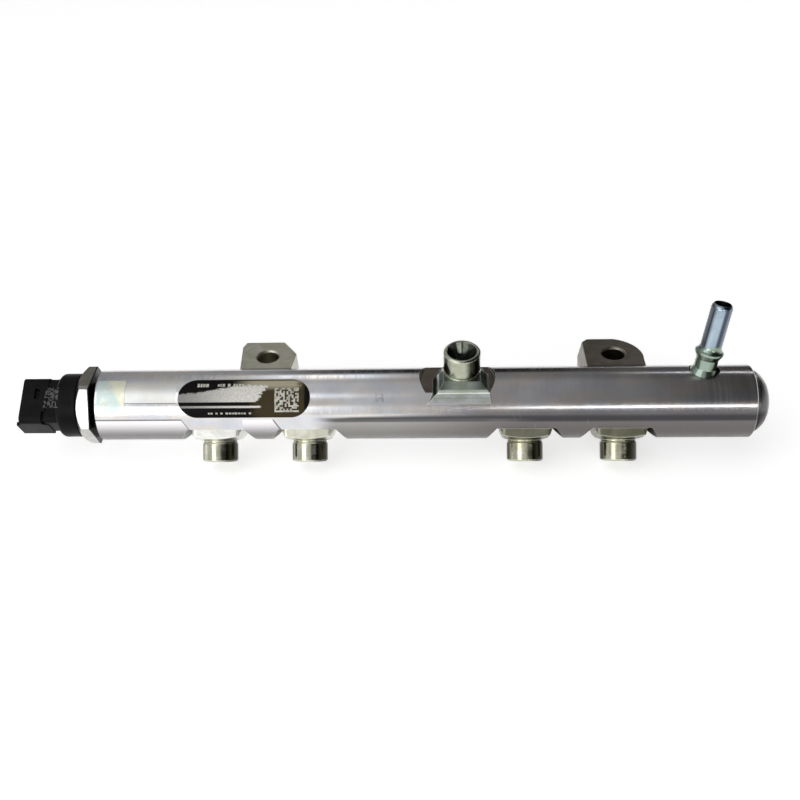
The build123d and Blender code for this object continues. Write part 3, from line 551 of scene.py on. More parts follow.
@dataclass(frozen=True)
class Metal:
    """A bare or plated metal with its marks, clouding, scratches and rubbed edges."""

    light: Colour
    dark: Colour
    roughness: float = 0.25
    marks: Marks = Marks.TURNED
    cloud_scale: float = 0.12
    relief: float = 0.12
    relief_depth: float = 0.02
    edge: Colour = (0.8, 0.8, 0.8)
    edge_amount: float = 0.5
    edge_width: float = 0.25
    scratch_scale: float = 1.3
    scratch_share: float = 0.2
    rough_marks: float = 0.10
    smooth_clouds: float = -0.05
    stains_and_shades: tuple[StainOrShade, ...] = ()

    def material(self, name: str) -> bpy.types.Material:
        """Make a material of this metal.

        Args:
            name: The material's name.

        Returns:
            The material.
        """
        material, spot, shader = fresh(name)
        web, place = spot.web, spot.place
        plating = web.group(
            EFFECTS.plating, Place=place, Scale=self.cloud_scale, Light=self.light, Dark=self.dark
        )
        marks = web.group(EFFECTS.fine_marks, Place=place, Run=self.marks.value)
        handled = web.group(EFFECTS.handling, Place=place, Scale=self.scratch_scale)
        edge = web.group(EFFECTS.edge_wear, Width=self.edge_width * MM, Amount=self.edge_amount)
        colour = web.blend(edge["Mask"], plating["Colour"], self.edge)
        scratch = web.times(handled["Scratches"], self.scratch_share)
        colour = web.blend(scratch, colour, self.edge)
        for tint_or_shade in self.stains_and_shades:
            colour = web.blend(tint_or_shade.mask(spot), colour, tint_or_shade.colour)
        rough = web.math("MULTIPLY_ADD", marks["Mask"], self.rough_marks, self.roughness)
        rough = web.math("MULTIPLY_ADD", plating["Mask"], self.smooth_clouds, rough)
        normal = web.bump(marks["Height"], self.relief, self.relief_depth, edge["Normal"])
        web.fill(shader, Base_Color=colour, Metallic=1.0, Roughness=rough, Normal=normal)
        return material


@dataclass(frozen=True)
class Moulding:
    """A moulded plastic, rubber or resin with its skin grain, dust and softened edges."""

    colour: Colour
    dusty: Colour
    roughness: float = 0.4
    grain: Grain = (2.5, 5.0, 0.6)
    relief: float = 0.25
    relief_depth: float = 0.03
    coat: float = 0.0
    gloss: float = 0.5
    cloud_scale: float = 0.16
    cloud_share: float = 0.35
    rough_clouds: float = 0.12
    edge_amount: float = 0.35
    edge_width: float = 0.35
    speck_scale: float = 2.1
    speck_share: float = 0.25
    mark: Area | None = None
    mark_colour: Colour = (0.16, 0.16, 0.155)
    mark_cells: Range = (1.7, 0.5)
    mark_soft: float = 0.05
    mark_front: float = -2.0
    mark_share: float = 0.7

    def material(self, name: str) -> bpy.types.Material:
        """Make a material of this moulding.

        Args:
            name: The material's name.

        Returns:
            The material.
        """
        material, spot, shader = fresh(name)
        web, place = spot.web, spot.place
        plating = web.group(
            EFFECTS.plating, Place=place, Scale=self.cloud_scale, Light=self.dusty, Dark=self.colour
        )
        handled = web.group(EFFECTS.handling, Place=place, Scale=self.speck_scale)
        edge = web.group(EFFECTS.edge_wear, Width=self.edge_width * MM, Amount=self.edge_amount)
        colour = web.blend(self.cloud_share, self.colour, plating["Colour"])
        colour = web.blend(edge["Mask"], colour, self.dusty)
        colour = web.blend(web.times(handled["Specks"], self.speck_share), colour, self.dusty)
        if self.mark:
            inside = spot.area(self.mark, self.mark_soft, self.mark_front)
            filled = web.times(spot.cells(*self.mark_cells), self.mark_share)
            colour = web.blend(web.times(inside, filled), colour, self.mark_colour)
        rough = web.math("MULTIPLY_ADD", plating["Mask"], self.rough_clouds, self.roughness)
        skin = web.noise(place, *self.grain)
        web.fill(
            shader,
            Base_Color=colour,
            Specular_IOR_Level=self.gloss,
            Roughness=rough,
            Coat_Weight=self.coat,
            Normal=web.bump(skin, self.relief, self.relief_depth, edge["Normal"]),
        )
        return material


@dataclass(frozen=True)
class RailSkin:
    """The rail body's finish: a ground barrel, a forged underside and plated bosses, with painted
    light and shade in their colours.
    """

    # The ground barrel, from bright on the left to mid grey as painted light, with its dark lower
    # band of painted shade.
    lit_left_tone: Colour = (0.80, 0.80, 0.80)
    shaded_right_tone: Colour = (0.46, 0.45, 0.45)
    mid_from: Range = (92.0, 158.0)
    barrel_cloud: tuple[float, Colour] = (0.05, (0.84, 0.84, 0.86))
    drift_run: Point = (0.05, 0.30, 0.30)
    drift_grain: Range = (1.0, 2.0)
    drift: Range = (0.36, 0.64)
    drift_hues: tuple[Colour, Colour] = ((1.0, 0.955, 0.915), (0.925, 0.955, 1.0))
    painted_shade: Colour = (0.035, 0.034, 0.040)
    shade_top: Sweep = (88.0, 182.0, -4.9, -1.5)
    shade_foot: float = -5.9
    shade_from: Range = (86.0, 104.0)
    shade_share: float = 0.93
    off_round: float = 0.06
    end_chamfer: float = 1.4
    end_soft: float = 0.02
    # The forged underside and the seam over it, which dips round the first two outlets.
    # Painted shade darkens the underside towards the bottom; painted light makes it far paler on
    # the left.
    under_left_lit: tuple[Colour, Colour] = ((0.98, 0.96, 0.98), (0.26, 0.25, 0.25))
    under_middle: tuple[Colour, Colour] = ((0.40, 0.39, 0.38), (0.26, 0.25, 0.24))
    under_right_shaded: tuple[Colour, Colour] = ((0.178, 0.167, 0.167), (0.152, 0.141, 0.136))
    under_shade_foot: Range = (-6.3, -12.6)
    under_middle_from: Range = (80.0, 96.0)
    under_right_from: Range = (108.0, 170.0)
    under_gap: Band = (82.0, 90.0, 4.0)
    seam: Colour = (0.09, 0.09, 0.09)
    seam_share: float = 0.85
    seam_height: float = -6.1
    seam_bend: float = 13.0
    seam_slope: float = 1.45
    dip_end: Sweep = (60.0, 70.0, 11.0, 2.0)
    last_dip: Range = (86.0, 85.0)
    crisp_edge: Range = (0.15, -0.15)
    soft_edge: Range = (0.2, -0.9)
    soft_from: Range = (140.0, 176.0)
    soft_rise: Range = (0.2, 0.9)
    line_width: Sweep = (60.0, 86.0, 0.30, 0.85)
    line_drop: Sweep = (86.0, 96.0, 0.0, 0.4)
    line_edge: Range = (1.3, 0.4)
    level_parts: tuple[Range, Range] = ((36.5, 35.5), (85.0, 96.0))
    line_end: Range = (162.0, 150.0)
    line_depth: float = -6.0
    # The outlets: their pads, studs and pockets, with painted light and shade on the pads and
    # pockets.
    pad_first_lit: Colour = (0.88, 0.89, 0.87)
    pad_second_lit: Colour = (0.80, 0.80, 0.70)
    pad_right_shaded: Colour = (0.24, 0.24, 0.18)
    stud: Colour = (0.66, 0.66, 0.55)
    stud_right: Colour = (0.60, 0.60, 0.47)
    # Painted shade on the turned studs' flanks.
    shaded_flank: Colour = (0.045, 0.042, 0.028)
    pocket_lit_side: Colour = (0.30, 0.31, 0.31)
    pocket_shaded_side: Colour = (0.022, 0.024, 0.022)
    second_from: Range = (62.0, 68.0)
    right_from: Range = (120.0, 150.0)
    pocket_turn: Range = (-1.0, 1.0)
    pocket_floor: Band = (-10.06, -9.94, 0.02)
    pocket_wall: Band = (14.8, 15.0, 0.03)
    outlets_under: float = -9.0
    studs_under: float = -14.0
    thread_pitch: float = 1.5
    thread_under: Range = (-15.6, -15.9)
    thread_relief: Range = (0.04, 0.05)
    # The inlet: its pad, rim, stud and cone, with a painted reflection on the pad, a painted
    # highlight on the rim and painted shade in the pocket and cone.
    inlet_pad_dark_reflection: Colour = (0.10, 0.125, 0.115)
    inlet_pad_middle: Colour = (0.40, 0.45, 0.41)
    inlet_front: Colour = (0.34, 0.36, 0.36)
    inlet_rim_highlight: Colour = (0.80, 0.86, 0.80)
    inlet_stud: Colour = (0.50, 0.53, 0.44)
    inlet_pocket_shade: Colour = (0.12, 0.10, 0.085)
    inlet_cone_shade: Colour = (0.085, 0.095, 0.085)
    inlet_middle: Range = (2.0, 9.0)
    inlet_upright: Range = (0.35, 0.15)
    inlet_edge: Band = (13.8, 14.9, 0.2)
    inlet_edge_share: float = 0.9
    inlet_floor: Band = (11.64, 11.76, 0.02)
    inlet_within: Range = (19.0, 8.0)
    inlet_stud_over: float = 15.8
    inlet_cone_within: Range = (5.8, 14.0)
    # The lugs, paler on the left as painted light, and the clouds over all that isn't the barrel.
    lug_left_lit: Colour = (0.56, 0.55, 0.47)
    lug_right_shaded: Colour = (0.22, 0.20, 0.175)
    lug_turn: Range = (100.0, 150.0)
    raised_cloud: tuple[float, Colour] = (0.20, (0.80, 0.79, 0.72))
    # The etched field beside the security label, the line under it and the dotted mark.
    etched: Area = (12.0, 32.8, 0.6, 8.4)
    etching: Colour = (0.72, 0.74, 0.68)
    etched_share: float = 0.40
    etched_dull: float = 0.15
    etched_line: Colour = (0.16, 0.15, 0.15)
    etched_line_width: float = 0.35
    etched_line_soft: float = 0.08
    etched_line_share: float = 0.75
    dotted: Area = (110.4, 113.6, 0.6, 3.6)
    dotted_soft: float = 0.1
    dot_cells: Range = (2.1, 0.68)
    dot_share: float = 0.38
    # Worn edges, partly painted glints, as pairs for the raised forms and then the barrel, and
    # scratches.
    edge_width: Range = (0.5, 0.25)
    rubbed: tuple[Colour, Colour] = ((0.80, 0.80, 0.72), (0.70, 0.69, 0.68))
    edge_amount: float = 0.7
    scratched: Colour = (0.8, 0.8, 0.78)
    scratch_scale: float = 0.8
    scratch_share: float = 0.18
    # Roughness, as what the fine marks add and what there is without them, and their relief.
    dull: Range = (0.08, 0.28)
    smooth: Range = (0.07, 0.16)
    turned_smooth: float = -0.14
    relief: Range = (0.14, 0.02)

    def underside(self, spot: Spot) -> tuple[Socket, Socket, Socket]:
        """Mask and colour the forged underside, darker towards the bottom as painted shade and
        paler on the left as painted light.

        Args:
            spot: The point's place.

        Returns:
            The underside's mask, its colour and the mask of the seam over it.
        """
        web, station, away = spot.web, spot.station, spot.away
        dip = web.math("MAXIMUM", web.math("ADD", away, self.seam_bend), 0.0)
        before = web.math("LESS_THAN", away, web.span(station, *self.dip_end))
        first_pair = web.times(spot.near, web.math("LESS_THAN", station, BETWEEN_PAIRS))
        dip = web.times(dip, before, first_pair)
        seam = web.math("MULTIPLY_ADD", dip, -self.seam_slope, self.seam_height)
        over = web.math("SUBTRACT", spot.height, seam)

        right = web.span(station, *self.soft_from)
        crisp = web.span(over, *self.crisp_edge)
        raised = web.math("ADD", over, web.span(right, 0.0, 1.0, *self.soft_rise))
        soft = web.span(raised, *self.soft_edge)
        mask = web.math("MULTIPLY_ADD", right, web.math("SUBTRACT", soft, crisp), crisp)
        mask = web.times(mask, web.math("SUBTRACT", 1.0, web.band(station, *self.under_gap)))

        # Painted shade: darker towards the bottom.
        foot = web.span(spot.height, *self.under_shade_foot)
        left, middle, far = (
            web.blend(foot, *pair)
            for pair in (self.under_left_lit, self.under_middle, self.under_right_shaded)
        )
        # Painted light: far paler on the left than on the right.
        colour = web.blend(web.span(station, *self.under_middle_from), left, middle)
        colour = web.blend(web.span(station, *self.under_right_from), colour, far)

        lower = web.math("ADD", over, web.span(station, *self.line_drop))
        width = web.span(station, *self.line_width)
        line = web.span(web.math("DIVIDE", web.math("ABSOLUTE", lower), width), *self.line_edge)
        dipping = web.math("GREATER_THAN", dip, 0.0)
        dipping = web.times(dipping, web.span(station, *self.last_dip))
        level = web.math("MAXIMUM", *(web.span(station, *part) for part in self.level_parts))
        shown = web.math("MAXIMUM", dipping, level)
        shown = web.times(shown, web.span(station, *self.line_end))
        return mask, colour, web.times(line, shown)

    def barrel_colour(self, spot: Spot) -> Socket:
        """Colour the ground barrel, paler on the left as painted light, with a band of painted
        shade low on its right half.

        Args:
            spot: The point's place.

        Returns:
            The colour's socket.
        """
        web, station = spot.web, spot.station
        # Painted light: the barrel is paler on the left, where the light falls, than on the right.
        ground = web.blend(web.span(station, *self.mid_from), self.lit_left_tone, self.shaded_right_tone)
        ground = spot.clouded(ground, *self.barrel_cloud)
        long_way = web.vector("MULTIPLY", spot.place, self.drift_run)
        drift = web.span(web.noise(long_way, *self.drift_grain), *self.drift)
        ground = web.blend(1.0, ground, web.blend(drift, *self.drift_hues), "MULTIPLY")
        dots = web.times(spot.cells(*self.dot_cells), spot.area(self.dotted, self.dotted_soft))
        ground = web.blend(web.times(dots, self.dot_share), ground, self.seam)
        # Painted shade: a dark band low on the right half, standing in for a dark reflection.
        top = web.span(station, *self.shade_top)
        fall = web.math("SUBTRACT", top, spot.height)
        fall = web.math("DIVIDE", fall, web.math("SUBTRACT", top, self.shade_foot))
        shaded = web.times(web.span(fall, 0.0, 1.0), web.span(station, *self.shade_from))
        return web.blend(web.times(shaded, self.shade_share), ground, self.painted_shade)

    def studs(self, spot: Spot) -> tuple[Socket, Socket]:
        """Mask the turned studs.

        Args:
            spot: The point's place.

        Returns:
            The mask of the outlet studs and that of the inlet's stud.
        """
        web = spot.web
        below = web.times(web.math("LESS_THAN", spot.height, self.studs_under), spot.near)
        outlets = web.times(web.math("LESS_THAN", spot.from_outlet, STUD_REACH), below)
        above = web.math("GREATER_THAN", spot.up_inlet, self.inlet_stud_over)
        return outlets, web.times(web.math("LESS_THAN", spot.from_inlet, STUD_REACH), above)

    def outlet_colour(self, spot: Spot, stud_mask: Socket) -> Socket:
        """Colour the outlets' pads, studs and pockets, with painted light and shade on the pads and
        pockets.

        Args:
            spot: The point's place.
            stud_mask: The mask of the outlet studs.

        Returns:
            The colour's socket.
        """
        web = spot.web
        right = web.span(spot.station, *self.right_from)
        second = web.span(spot.station, *self.second_from)
        pad = web.blend(second, self.pad_first_lit, self.pad_second_lit)
        # Painted light and shade: the pads darken to the right, away from the light.
        pad = web.blend(right, pad, self.pad_right_shaded)
        stud = web.blend(right, self.stud, self.stud_right)
        colour = web.blend(stud_mask, pad, web.blend(spot.shaded_flank, stud, self.shaded_flank))
        # Painted light and shade: each pocket is lit on its left and shaded on its right.
        turn = web.span(spot.away, *self.pocket_turn)
        floor = web.band(spot.height, *self.pocket_floor)
        pocket = web.math("MAXIMUM", floor, web.band(spot.from_outlet, *self.pocket_wall))
        return web.blend(pocket, colour, web.blend(turn, self.pocket_lit_side, self.pocket_shaded_side))

    def inlet_colour(self, spot: Spot, stud_mask: Socket) -> Socket:
        """Colour the inlet's pad, rim, stud and cone, with a painted reflection on the pad, a
        painted highlight on the rim and painted shade in the pocket and cone.

        Args:
            spot: The point's place.
            stud_mask: The mask of the inlet's stud.

        Returns:
            The colour's socket.
        """
        web = spot.web
        aside = web.math("ABSOLUTE", web.math("SUBTRACT", spot.station, INLET_STATION))
        outer = web.span(aside, *self.inlet_middle)
        # Painted reflection: the pad is dark away from its middle, and its faces take colours by
        # the way they face.
        pad = web.blend(outer, self.inlet_pad_middle, self.inlet_pad_dark_reflection)
        upright = web.span(spot.faces_inlet, *self.inlet_upright)
        pad = web.blend(upright, pad, self.inlet_front)
        rim = web.times(web.band(spot.up_inlet, *self.inlet_edge), self.inlet_edge_share)
        # Painted highlight along the pad's rim.
        pad = web.blend(rim, pad, self.inlet_rim_highlight)
        stud = web.blend(spot.shaded_flank, self.inlet_stud, self.shaded_flank)
        colour = web.blend(stud_mask, pad, stud)
        # Painted shade in the cone and on the pocket's floor.
        colour = web.blend(self.by_inlet(spot, self.inlet_cone_within), colour, self.inlet_cone_shade)
        floor = web.band(spot.up_inlet, *self.inlet_floor)
        return web.blend(floor, colour, self.inlet_pocket_shade)

    def by_inlet(self, spot: Spot, within: Range) -> Socket:
        """Mask a round space about the inlet's axis.

        Args:
            spot: The point's place.
            within: The space's radius, and how far up the axis it starts, in mm.

        Returns:
            The mask's socket.
        """
        web = spot.web
        inside = web.math("LESS_THAN", spot.from_inlet, within[0])
        return web.times(inside, web.math("GREATER_THAN", spot.up_inlet, within[1]))

    def raised_colour(self, spot: Spot, studs: tuple[Socket, Socket]) -> Socket:
        """Colour all that isn't the barrel: the outlets, inlet and lugs.

        Args:
            spot: The point's place.
            studs: The masks of the outlet studs and the inlet's stud.

        Returns:
            The colour's socket.
        """
        web = spot.web
        # Painted light: the lugs darken to the right.
        lug = web.blend(web.span(spot.station, *self.lug_turn), self.lug_left_lit, self.lug_right_shaded)
        by_inlet = self.by_inlet(spot, self.inlet_within)
        colour = web.blend(by_inlet, lug, self.inlet_colour(spot, studs[1]))
        low = web.times(spot.near, web.math("LESS_THAN", spot.height, self.outlets_under))
        colour = web.blend(low, colour, self.outlet_colour(spot, studs[0]))
        return spot.clouded(colour, *self.raised_cloud)

    def barrel(self, spot: Spot) -> Socket:
        """Mask the round barrel and its two ends.

        Args:
            spot: The point's place.

        Returns:
            The mask's socket.
        """
        web = spot.web
        off_round = web.math("ABSOLUTE", web.math("SUBTRACT", spot.radius, BARREL_RADIUS))
        far_end = BARREL_LENGTH - self.end_chamfer
        between = web.band(spot.station, self.end_chamfer, far_end, self.end_soft)
        at_ends = web.math("SUBTRACT", 1.0, between)
        return web.math("MAXIMUM", web.math("LESS_THAN", off_round, self.off_round), at_ends)

    def etching_masks(self, spot: Spot, barrel: Socket) -> tuple[Socket, Socket]:
        """Mask the etched field and the thin line under it.

        Args:
            spot: The point's place.
            barrel: The barrel's mask.

        Returns:
            The field's mask and the line's.
        """
        web = spot.web
        left, right, low, high = self.etched
        front = web.times(barrel, web.math("LESS_THAN", spot.depth, 0.0))
        across = web.times(web.band(spot.station, left, right), front)
        line_low = low - self.etched_line_width
        line = web.band(spot.height, line_low, low, self.etched_line_soft)
        return web.times(across, web.band(spot.height, low, high)), web.times(across, line)

    def thread(self, spot: Spot, normal: Socket) -> Socket:
        """Cut a fine thread into the outlet studs.

        Args:
            spot: The point's place.
            normal: The normal that the thread is cut into.

        Returns:
            The threaded normal's socket.
        """
        web = spot.web
        turns = web.math("SINE", web.times(spot.height, math.tau / self.thread_pitch))
        cut = web.times(turns, web.span(spot.height, *self.thread_under))
        return web.bump(cut, *self.thread_relief, normal)

    def material(self, name: str) -> bpy.types.Material:
        """Make the rail body's material.

        Args:
            name: The material's name.

        Returns:
            The material.
        """
        material, spot, shader = fresh(name)
        web, place = spot.web, spot.place
        barrel = self.barrel(spot)
        under, skin, on_seam = self.underside(spot)
        round_colour = web.blend(under, self.barrel_colour(spot), skin)
        round_colour = web.blend(web.times(on_seam, self.seam_share), round_colour, self.seam)
        studs = self.studs(spot)
        colour = web.blend(barrel, self.raised_colour(spot, studs), round_colour)
        etched, line = self.etching_masks(spot, barrel)
        colour = web.blend(web.times(etched, self.etched_share), colour, self.etching)
        colour = web.blend(web.times(line, self.etched_line_share), colour, self.etched_line)

        wide, narrow = (width * MM for width in self.edge_width)
        width = web.math("MULTIPLY_ADD", barrel, narrow - wide, wide)
        edge = web.group(EFFECTS.edge_wear, Width=width, Amount=self.edge_amount)
        # Worn edges, partly painted glints along the crests.
        colour = web.blend(edge["Mask"], colour, web.blend(barrel, *self.rubbed))
        handled = web.group(EFFECTS.handling, Place=place, Scale=self.scratch_scale)
        scratch = web.times(handled["Scratches"], self.scratch_share)
        colour = web.blend(scratch, colour, self.scratched)

        pores, marks = (
            web.group(EFFECTS.fine_marks, Place=place, Run=run.value)
            for run in (Marks.FORGED, Marks.TURNED)
        )
        dull = web.math("MULTIPLY_ADD", pores["Mask"], *self.dull)
        smooth = web.math("MULTIPLY_ADD", marks["Mask"], *self.smooth)
        worked = web.times(barrel, web.math("SUBTRACT", 1.0, under))
        rough = web.math("MULTIPLY_ADD", worked, web.math("SUBTRACT", smooth, dull), dull)
        rough = web.math("MULTIPLY_ADD", etched, self.etched_dull, rough)
        on_studs = web.math("MAXIMUM", *studs)
        rough = web.math("MULTIPLY_ADD", on_studs, self.turned_smooth, rough)

        relief = web.times(worked, marks["Height"])
        unworked = web.math("SUBTRACT", 1.0, worked)
        relief = web.math("MULTIPLY_ADD", unworked, pores["Height"], relief)
        groove = web.times(barrel, self.line_depth)
        relief = web.math("MULTIPLY_ADD", on_seam, groove, relief)
        normal = self.thread(spot, web.bump(relief, *self.relief, edge["Normal"]))
        web.fill(shader, Base_Color=colour, Metallic=1.0, Roughness=rough, Normal=normal)
        return material


@dataclass(frozen=True)
class SilverFoil:
    """A silvery security label with a soft greenish and violet shimmer."""

    base: Colour = (0.70, 0.76, 0.70)
    cool: Colour = (0.62, 0.74, 0.72)
    warm: Colour = (0.84, 0.85, 0.68)
    metallic: float = 0.65
    slant: float = 0.55
    warm_from: Range = (9.5, 12.0)
    wave_grain: Grain = (0.16, 2.0, 0.5)
    wave_warp: float = 1.5
    cool_waves: Range = (0.38, 0.62)
    rough_waves: Sweep = (0.3, 0.7, 0.22, 0.38)

    def material(self, name: str) -> bpy.types.Material:
        """Make the foil's material.

        Args:
            name: The material's name.

        Returns:
            The material.
        """
        material, spot, shader = fresh(name)
        web = spot.web
        sweep = web.math("ADD", spot.station, web.times(spot.height, self.slant))
        waves = web.noise(spot.place, *self.wave_grain, self.wave_warp)
        colour = web.blend(web.span(waves, *self.cool_waves), self.base, self.cool)
        colour = web.blend(web.span(sweep, *self.warm_from), colour, self.warm)
        rough = web.span(waves, *self.rough_waves)
        web.fill(shader, Base_Color=colour, Metallic=self.metallic, Roughness=rough)
        return material


@dataclass(frozen=True)
class DarkFilm:
    """The data label's dark film, with a silvery field of painted glare and a tanned right end."""

    film: Colour = (0.007, 0.006, 0.006)
    gloss: float = 0.04
    ragged_run: Point = (0.9, 0.4, 1.1)
    ragged_grain: Grain = (1.0, 4.0, 0.75)
    ragged_shift: Range = (6.0, -3.0)
    rough_drift: Sweep = (0.3, 0.7, 0.28, 0.42)
    # The field of painted glare, the line under it and the dark flecks in both.
    field_left: Colour = (0.36, 0.35, 0.34)
    field_right: Colour = (0.86, 0.84, 0.78)
    field_box: Area = (34.0, 64.0, 0.75, 5.6)
    field_bright: float = 60.0
    field_rise: Sweep = (34.0, 62.0, -1.6, 1.6)
    field_ragged: float = 0.45
    field_soft: tuple[float, float, float] = (0.12, 0.25, 0.3)
    field_steps: Range = (0.8, -0.9)
    line: Area = (34.6, 66.0, -1.52, -0.68)
    line_soft: Range = (0.6, 0.12)
    fleck: Colour = (0.16, 0.15, 0.14)
    fleck_run: Point = (1.3, 1.5, 2.6)
    fleck_grain: Grain = (1.0, 4.0, 0.7)
    flecked: Sweep = (0.60, 0.36, 0.0, 0.35)
    # The tanned end, and the paler strip along its top.
    tan_light: Colour = (0.50, 0.46, 0.33)
    tan_dark: Colour = (0.060, 0.045, 0.022)
    tan_start: Range = (60.0, 66.0)
    tan_end: Range = (83.4, 82.4)
    pale_start: Range = (54.0, 64.0)
    pale_end: Range = (82.5, 79.0)
    pale_foot: Range = (4.8, 7.4)
    pale_top: Range = (9.3, 8.7)
    pale_share: float = 0.9
    scratched: Colour = (0.74, 0.73, 0.68)
    scratch_scale: float = 1.6
    scratch_share: float = 0.15

    def material(self, name: str) -> bpy.types.Material:
        """Make the film's material.

        Args:
            name: The material's name.

        Returns:
            The material.
        """
        material, spot, shader = fresh(name)
        web, place, station, height = spot.web, spot.place, spot.station, spot.height
        stretched = web.vector("MULTIPLY", place, self.ragged_run)
        ragged = web.noise(stretched, *self.ragged_grain)
        shift = web.math("MULTIPLY_ADD", ragged, *self.ragged_shift)
        shifted = web.math("ADD", station, shift)

        # The painted glare is ragged on top, and runs out in steps on its right.
        left, right, low, high = self.field_box
        low_soft, top_soft, right_soft = self.field_soft
        step_rate, step_length = self.field_steps
        top = web.math("MULTIPLY_ADD", shift, self.field_ragged, high)
        top = web.math("ADD", top, web.span(station, *self.field_rise))
        step = web.math("FLOOR", web.times(height, step_rate))
        reach = web.math("MULTIPLY_ADD", step, step_length, shifted)
        painted_glare = web.times(
            web.span(height, low - low_soft, low + low_soft),
            web.span(web.math("SUBTRACT", height, top), top_soft, -top_soft),
            web.span(reach, right + right_soft, right - right_soft),
        )
        brighter = web.span(station, left, self.field_bright)
        silver = web.blend(brighter, self.field_left, self.field_right)
        flecks = web.noise(web.vector("MULTIPLY", place, self.fleck_run), *self.fleck_grain)
        silver = web.blend(web.span(flecks, *self.flecked), silver, self.fleck)

        tanned = web.times(web.span(shifted, *self.tan_start), web.span(station, *self.tan_end))
        pale = web.times(
            web.span(height, *self.pale_foot),
            web.span(station, *self.pale_start),
            web.span(height, *self.pale_top),
            web.span(shifted, *self.pale_end),
        )
        colour = web.blend(tanned, self.film, self.tan_dark)
        colour = web.blend(web.times(pale, self.pale_share), colour, self.tan_light)
        colour = web.blend(painted_glare, colour, silver)
        start, end, line_low, line_high = self.line
        end_soft, side_soft = self.line_soft
        line = web.band(height, line_low, line_high, side_soft)
        line = web.times(line, web.band(station, start, end, end_soft))
        colour = web.blend(line, colour, silver)
        handled = web.group(EFFECTS.handling, Place=place, Scale=self.scratch_scale)
        scratch = web.times(handled["Scratches"], self.scratch_share)
        web.fill(
            shader,
            Base_Color=web.blend(scratch, colour, self.scratched),
            Roughness=web.span(ragged, *self.rough_drift),
            Specular_IOR_Level=self.gloss,
        )
        return material


@dataclass(frozen=True)
class Ink:
    """Pale print on the data label, slightly uneven where it has rubbed."""

    colour: Colour = (0.66, 0.65, 0.58)
    rubbed: Colour = (0.40, 0.38, 0.32)
    rub_scale: float = 0.5
    rub_roughness: Range = (0.55, 0.35)

    def material(self, name: str) -> bpy.types.Material:
        """Make the ink's material.

        Args:
            name: The material's name.

        Returns:
            The material.
        """
        material, spot, shader = fresh(name)
        rub = spot.web.group(
            EFFECTS.plating,
            Place=spot.place,
            Scale=self.rub_scale,
            Light=self.colour,
            Dark=self.rubbed,
        )
        rough = spot.web.span(rub["Mask"], 0.0, 1.0, *self.rub_roughness)
        spot.web.fill(shader, Base_Color=rub["Colour"], Roughness=rough)
        return material


FINISHES: dict[str, object] = {
    "sensor_steel": Metal(
        (0.84, 0.83, 0.80),
        (0.50, 0.49, 0.46),
        0.20,
        Marks.MILLED,
        cloud_scale=0.24,
        relief=0.08,
        stains_and_shades=(
            StainOrShade(Reach.HEIGHT, 6.6, 8.2, (0.24, 0.22, 0.18), 0.85),
            StainOrShade(Reach.HEIGHT, -7.0, -13.0, (0.50, 0.49, 0.47), 0.7),
            # Painted shade: the hex's face towards the rail is black, as the gap's shade.
            StainOrShade(Reach.STATION, -2.5, -2.1, (0.012, 0.012, 0.012)),
        ),
    ),
    "plug_steel": Metal(
        (0.14, 0.14, 0.14),
        (0.09, 0.09, 0.09),
        0.24,
        edge=(0.5, 0.5, 0.5),
        # Painted light and shade: paler on the plug's upper part, dark low down.
        stains_and_shades=(
            StainOrShade(Reach.HEIGHT, 5.2, 9.0, (0.42, 0.44, 0.42), 0.8),
            StainOrShade(Reach.HEIGHT, -3.0, -5.5, (0.035, 0.030, 0.032), 0.9),
        ),
    ),
    "spigot_zinc": Metal(
        (0.42, 0.51, 0.60),
        (0.30, 0.38, 0.45),
        0.16,
        # Painted reflections: dark and mid stripes down the tube, by the way its faces turn along
        # the rail.
        stains_and_shades=(
            StainOrShade(Reach.RIGHTWARD, -0.55, -0.85, (0.08, 0.09, 0.10), 0.9),
            StainOrShade(Reach.RIGHTWARD, -0.02, 0.22, (0.05, 0.06, 0.08), 0.92),
            StainOrShade(Reach.RIGHTWARD, 0.40, 0.60, (0.20, 0.25, 0.30), 0.9),
            StainOrShade(Reach.HEIGHT, 20.2, 19.2, (0.30, 0.38, 0.28), 0.75),
        ),
    ),
    "valve_steel": Metal((0.62, 0.62, 0.63), (0.52, 0.52, 0.53), 0.22),
    "spring_steel": Metal((0.42, 0.43, 0.45), (0.30, 0.31, 0.33), 0.30, Marks.DRAWN),
    "contact_metal": Metal((0.80, 0.72, 0.46), (0.66, 0.60, 0.40), 0.24, Marks.DRAWN),
    "black_plastic": Moulding(
        (0.004, 0.004, 0.005),
        (0.018, 0.018, 0.019),
        0.30,
        gloss=0.07,
        mark=(-22.6, -14.6, -1.0, 7.0),
    ),
    "carrier_plastic": Moulding((0.52, 0.50, 0.43), (0.62, 0.60, 0.54), 0.45),
    "board": Moulding((0.03, 0.17, 0.07), (0.06, 0.24, 0.11), 0.35, coat=0.4),
    "chip": Moulding((0.02, 0.02, 0.022), (0.06, 0.06, 0.06), 0.3),
    "seal_rubber": Moulding((0.014, 0.014, 0.014), (0.05, 0.05, 0.05), 0.6),
    "zinc_forging": RailSkin(),
    "silver_label": SilverFoil(),
    "black_label": DarkFilm(),
}


@dataclass
class PackedPart:
    """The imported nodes, each dressed in the finish that its record names."""

    frame: dict
    finishes: dict[str, object] = field(default_factory=lambda: FINISHES)

    def dress(self) -> None:
        """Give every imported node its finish."""
        made = {slot: finish.material(slot) for slot, finish in self.finishes.items()}
        for part in self.frame["record"]["subparts"]:
            node = self.frame["nodes"][part["node"]]
            slot = part["material_slot"]
            if node.material_slots:
                for place in node.material_slots:
                    place.link = "OBJECT"
                    place.material = made[slot]
            else:
                node.data.materials.append(made[slot])
            LOG.info("dressed %s in %s", part["node"], slot)


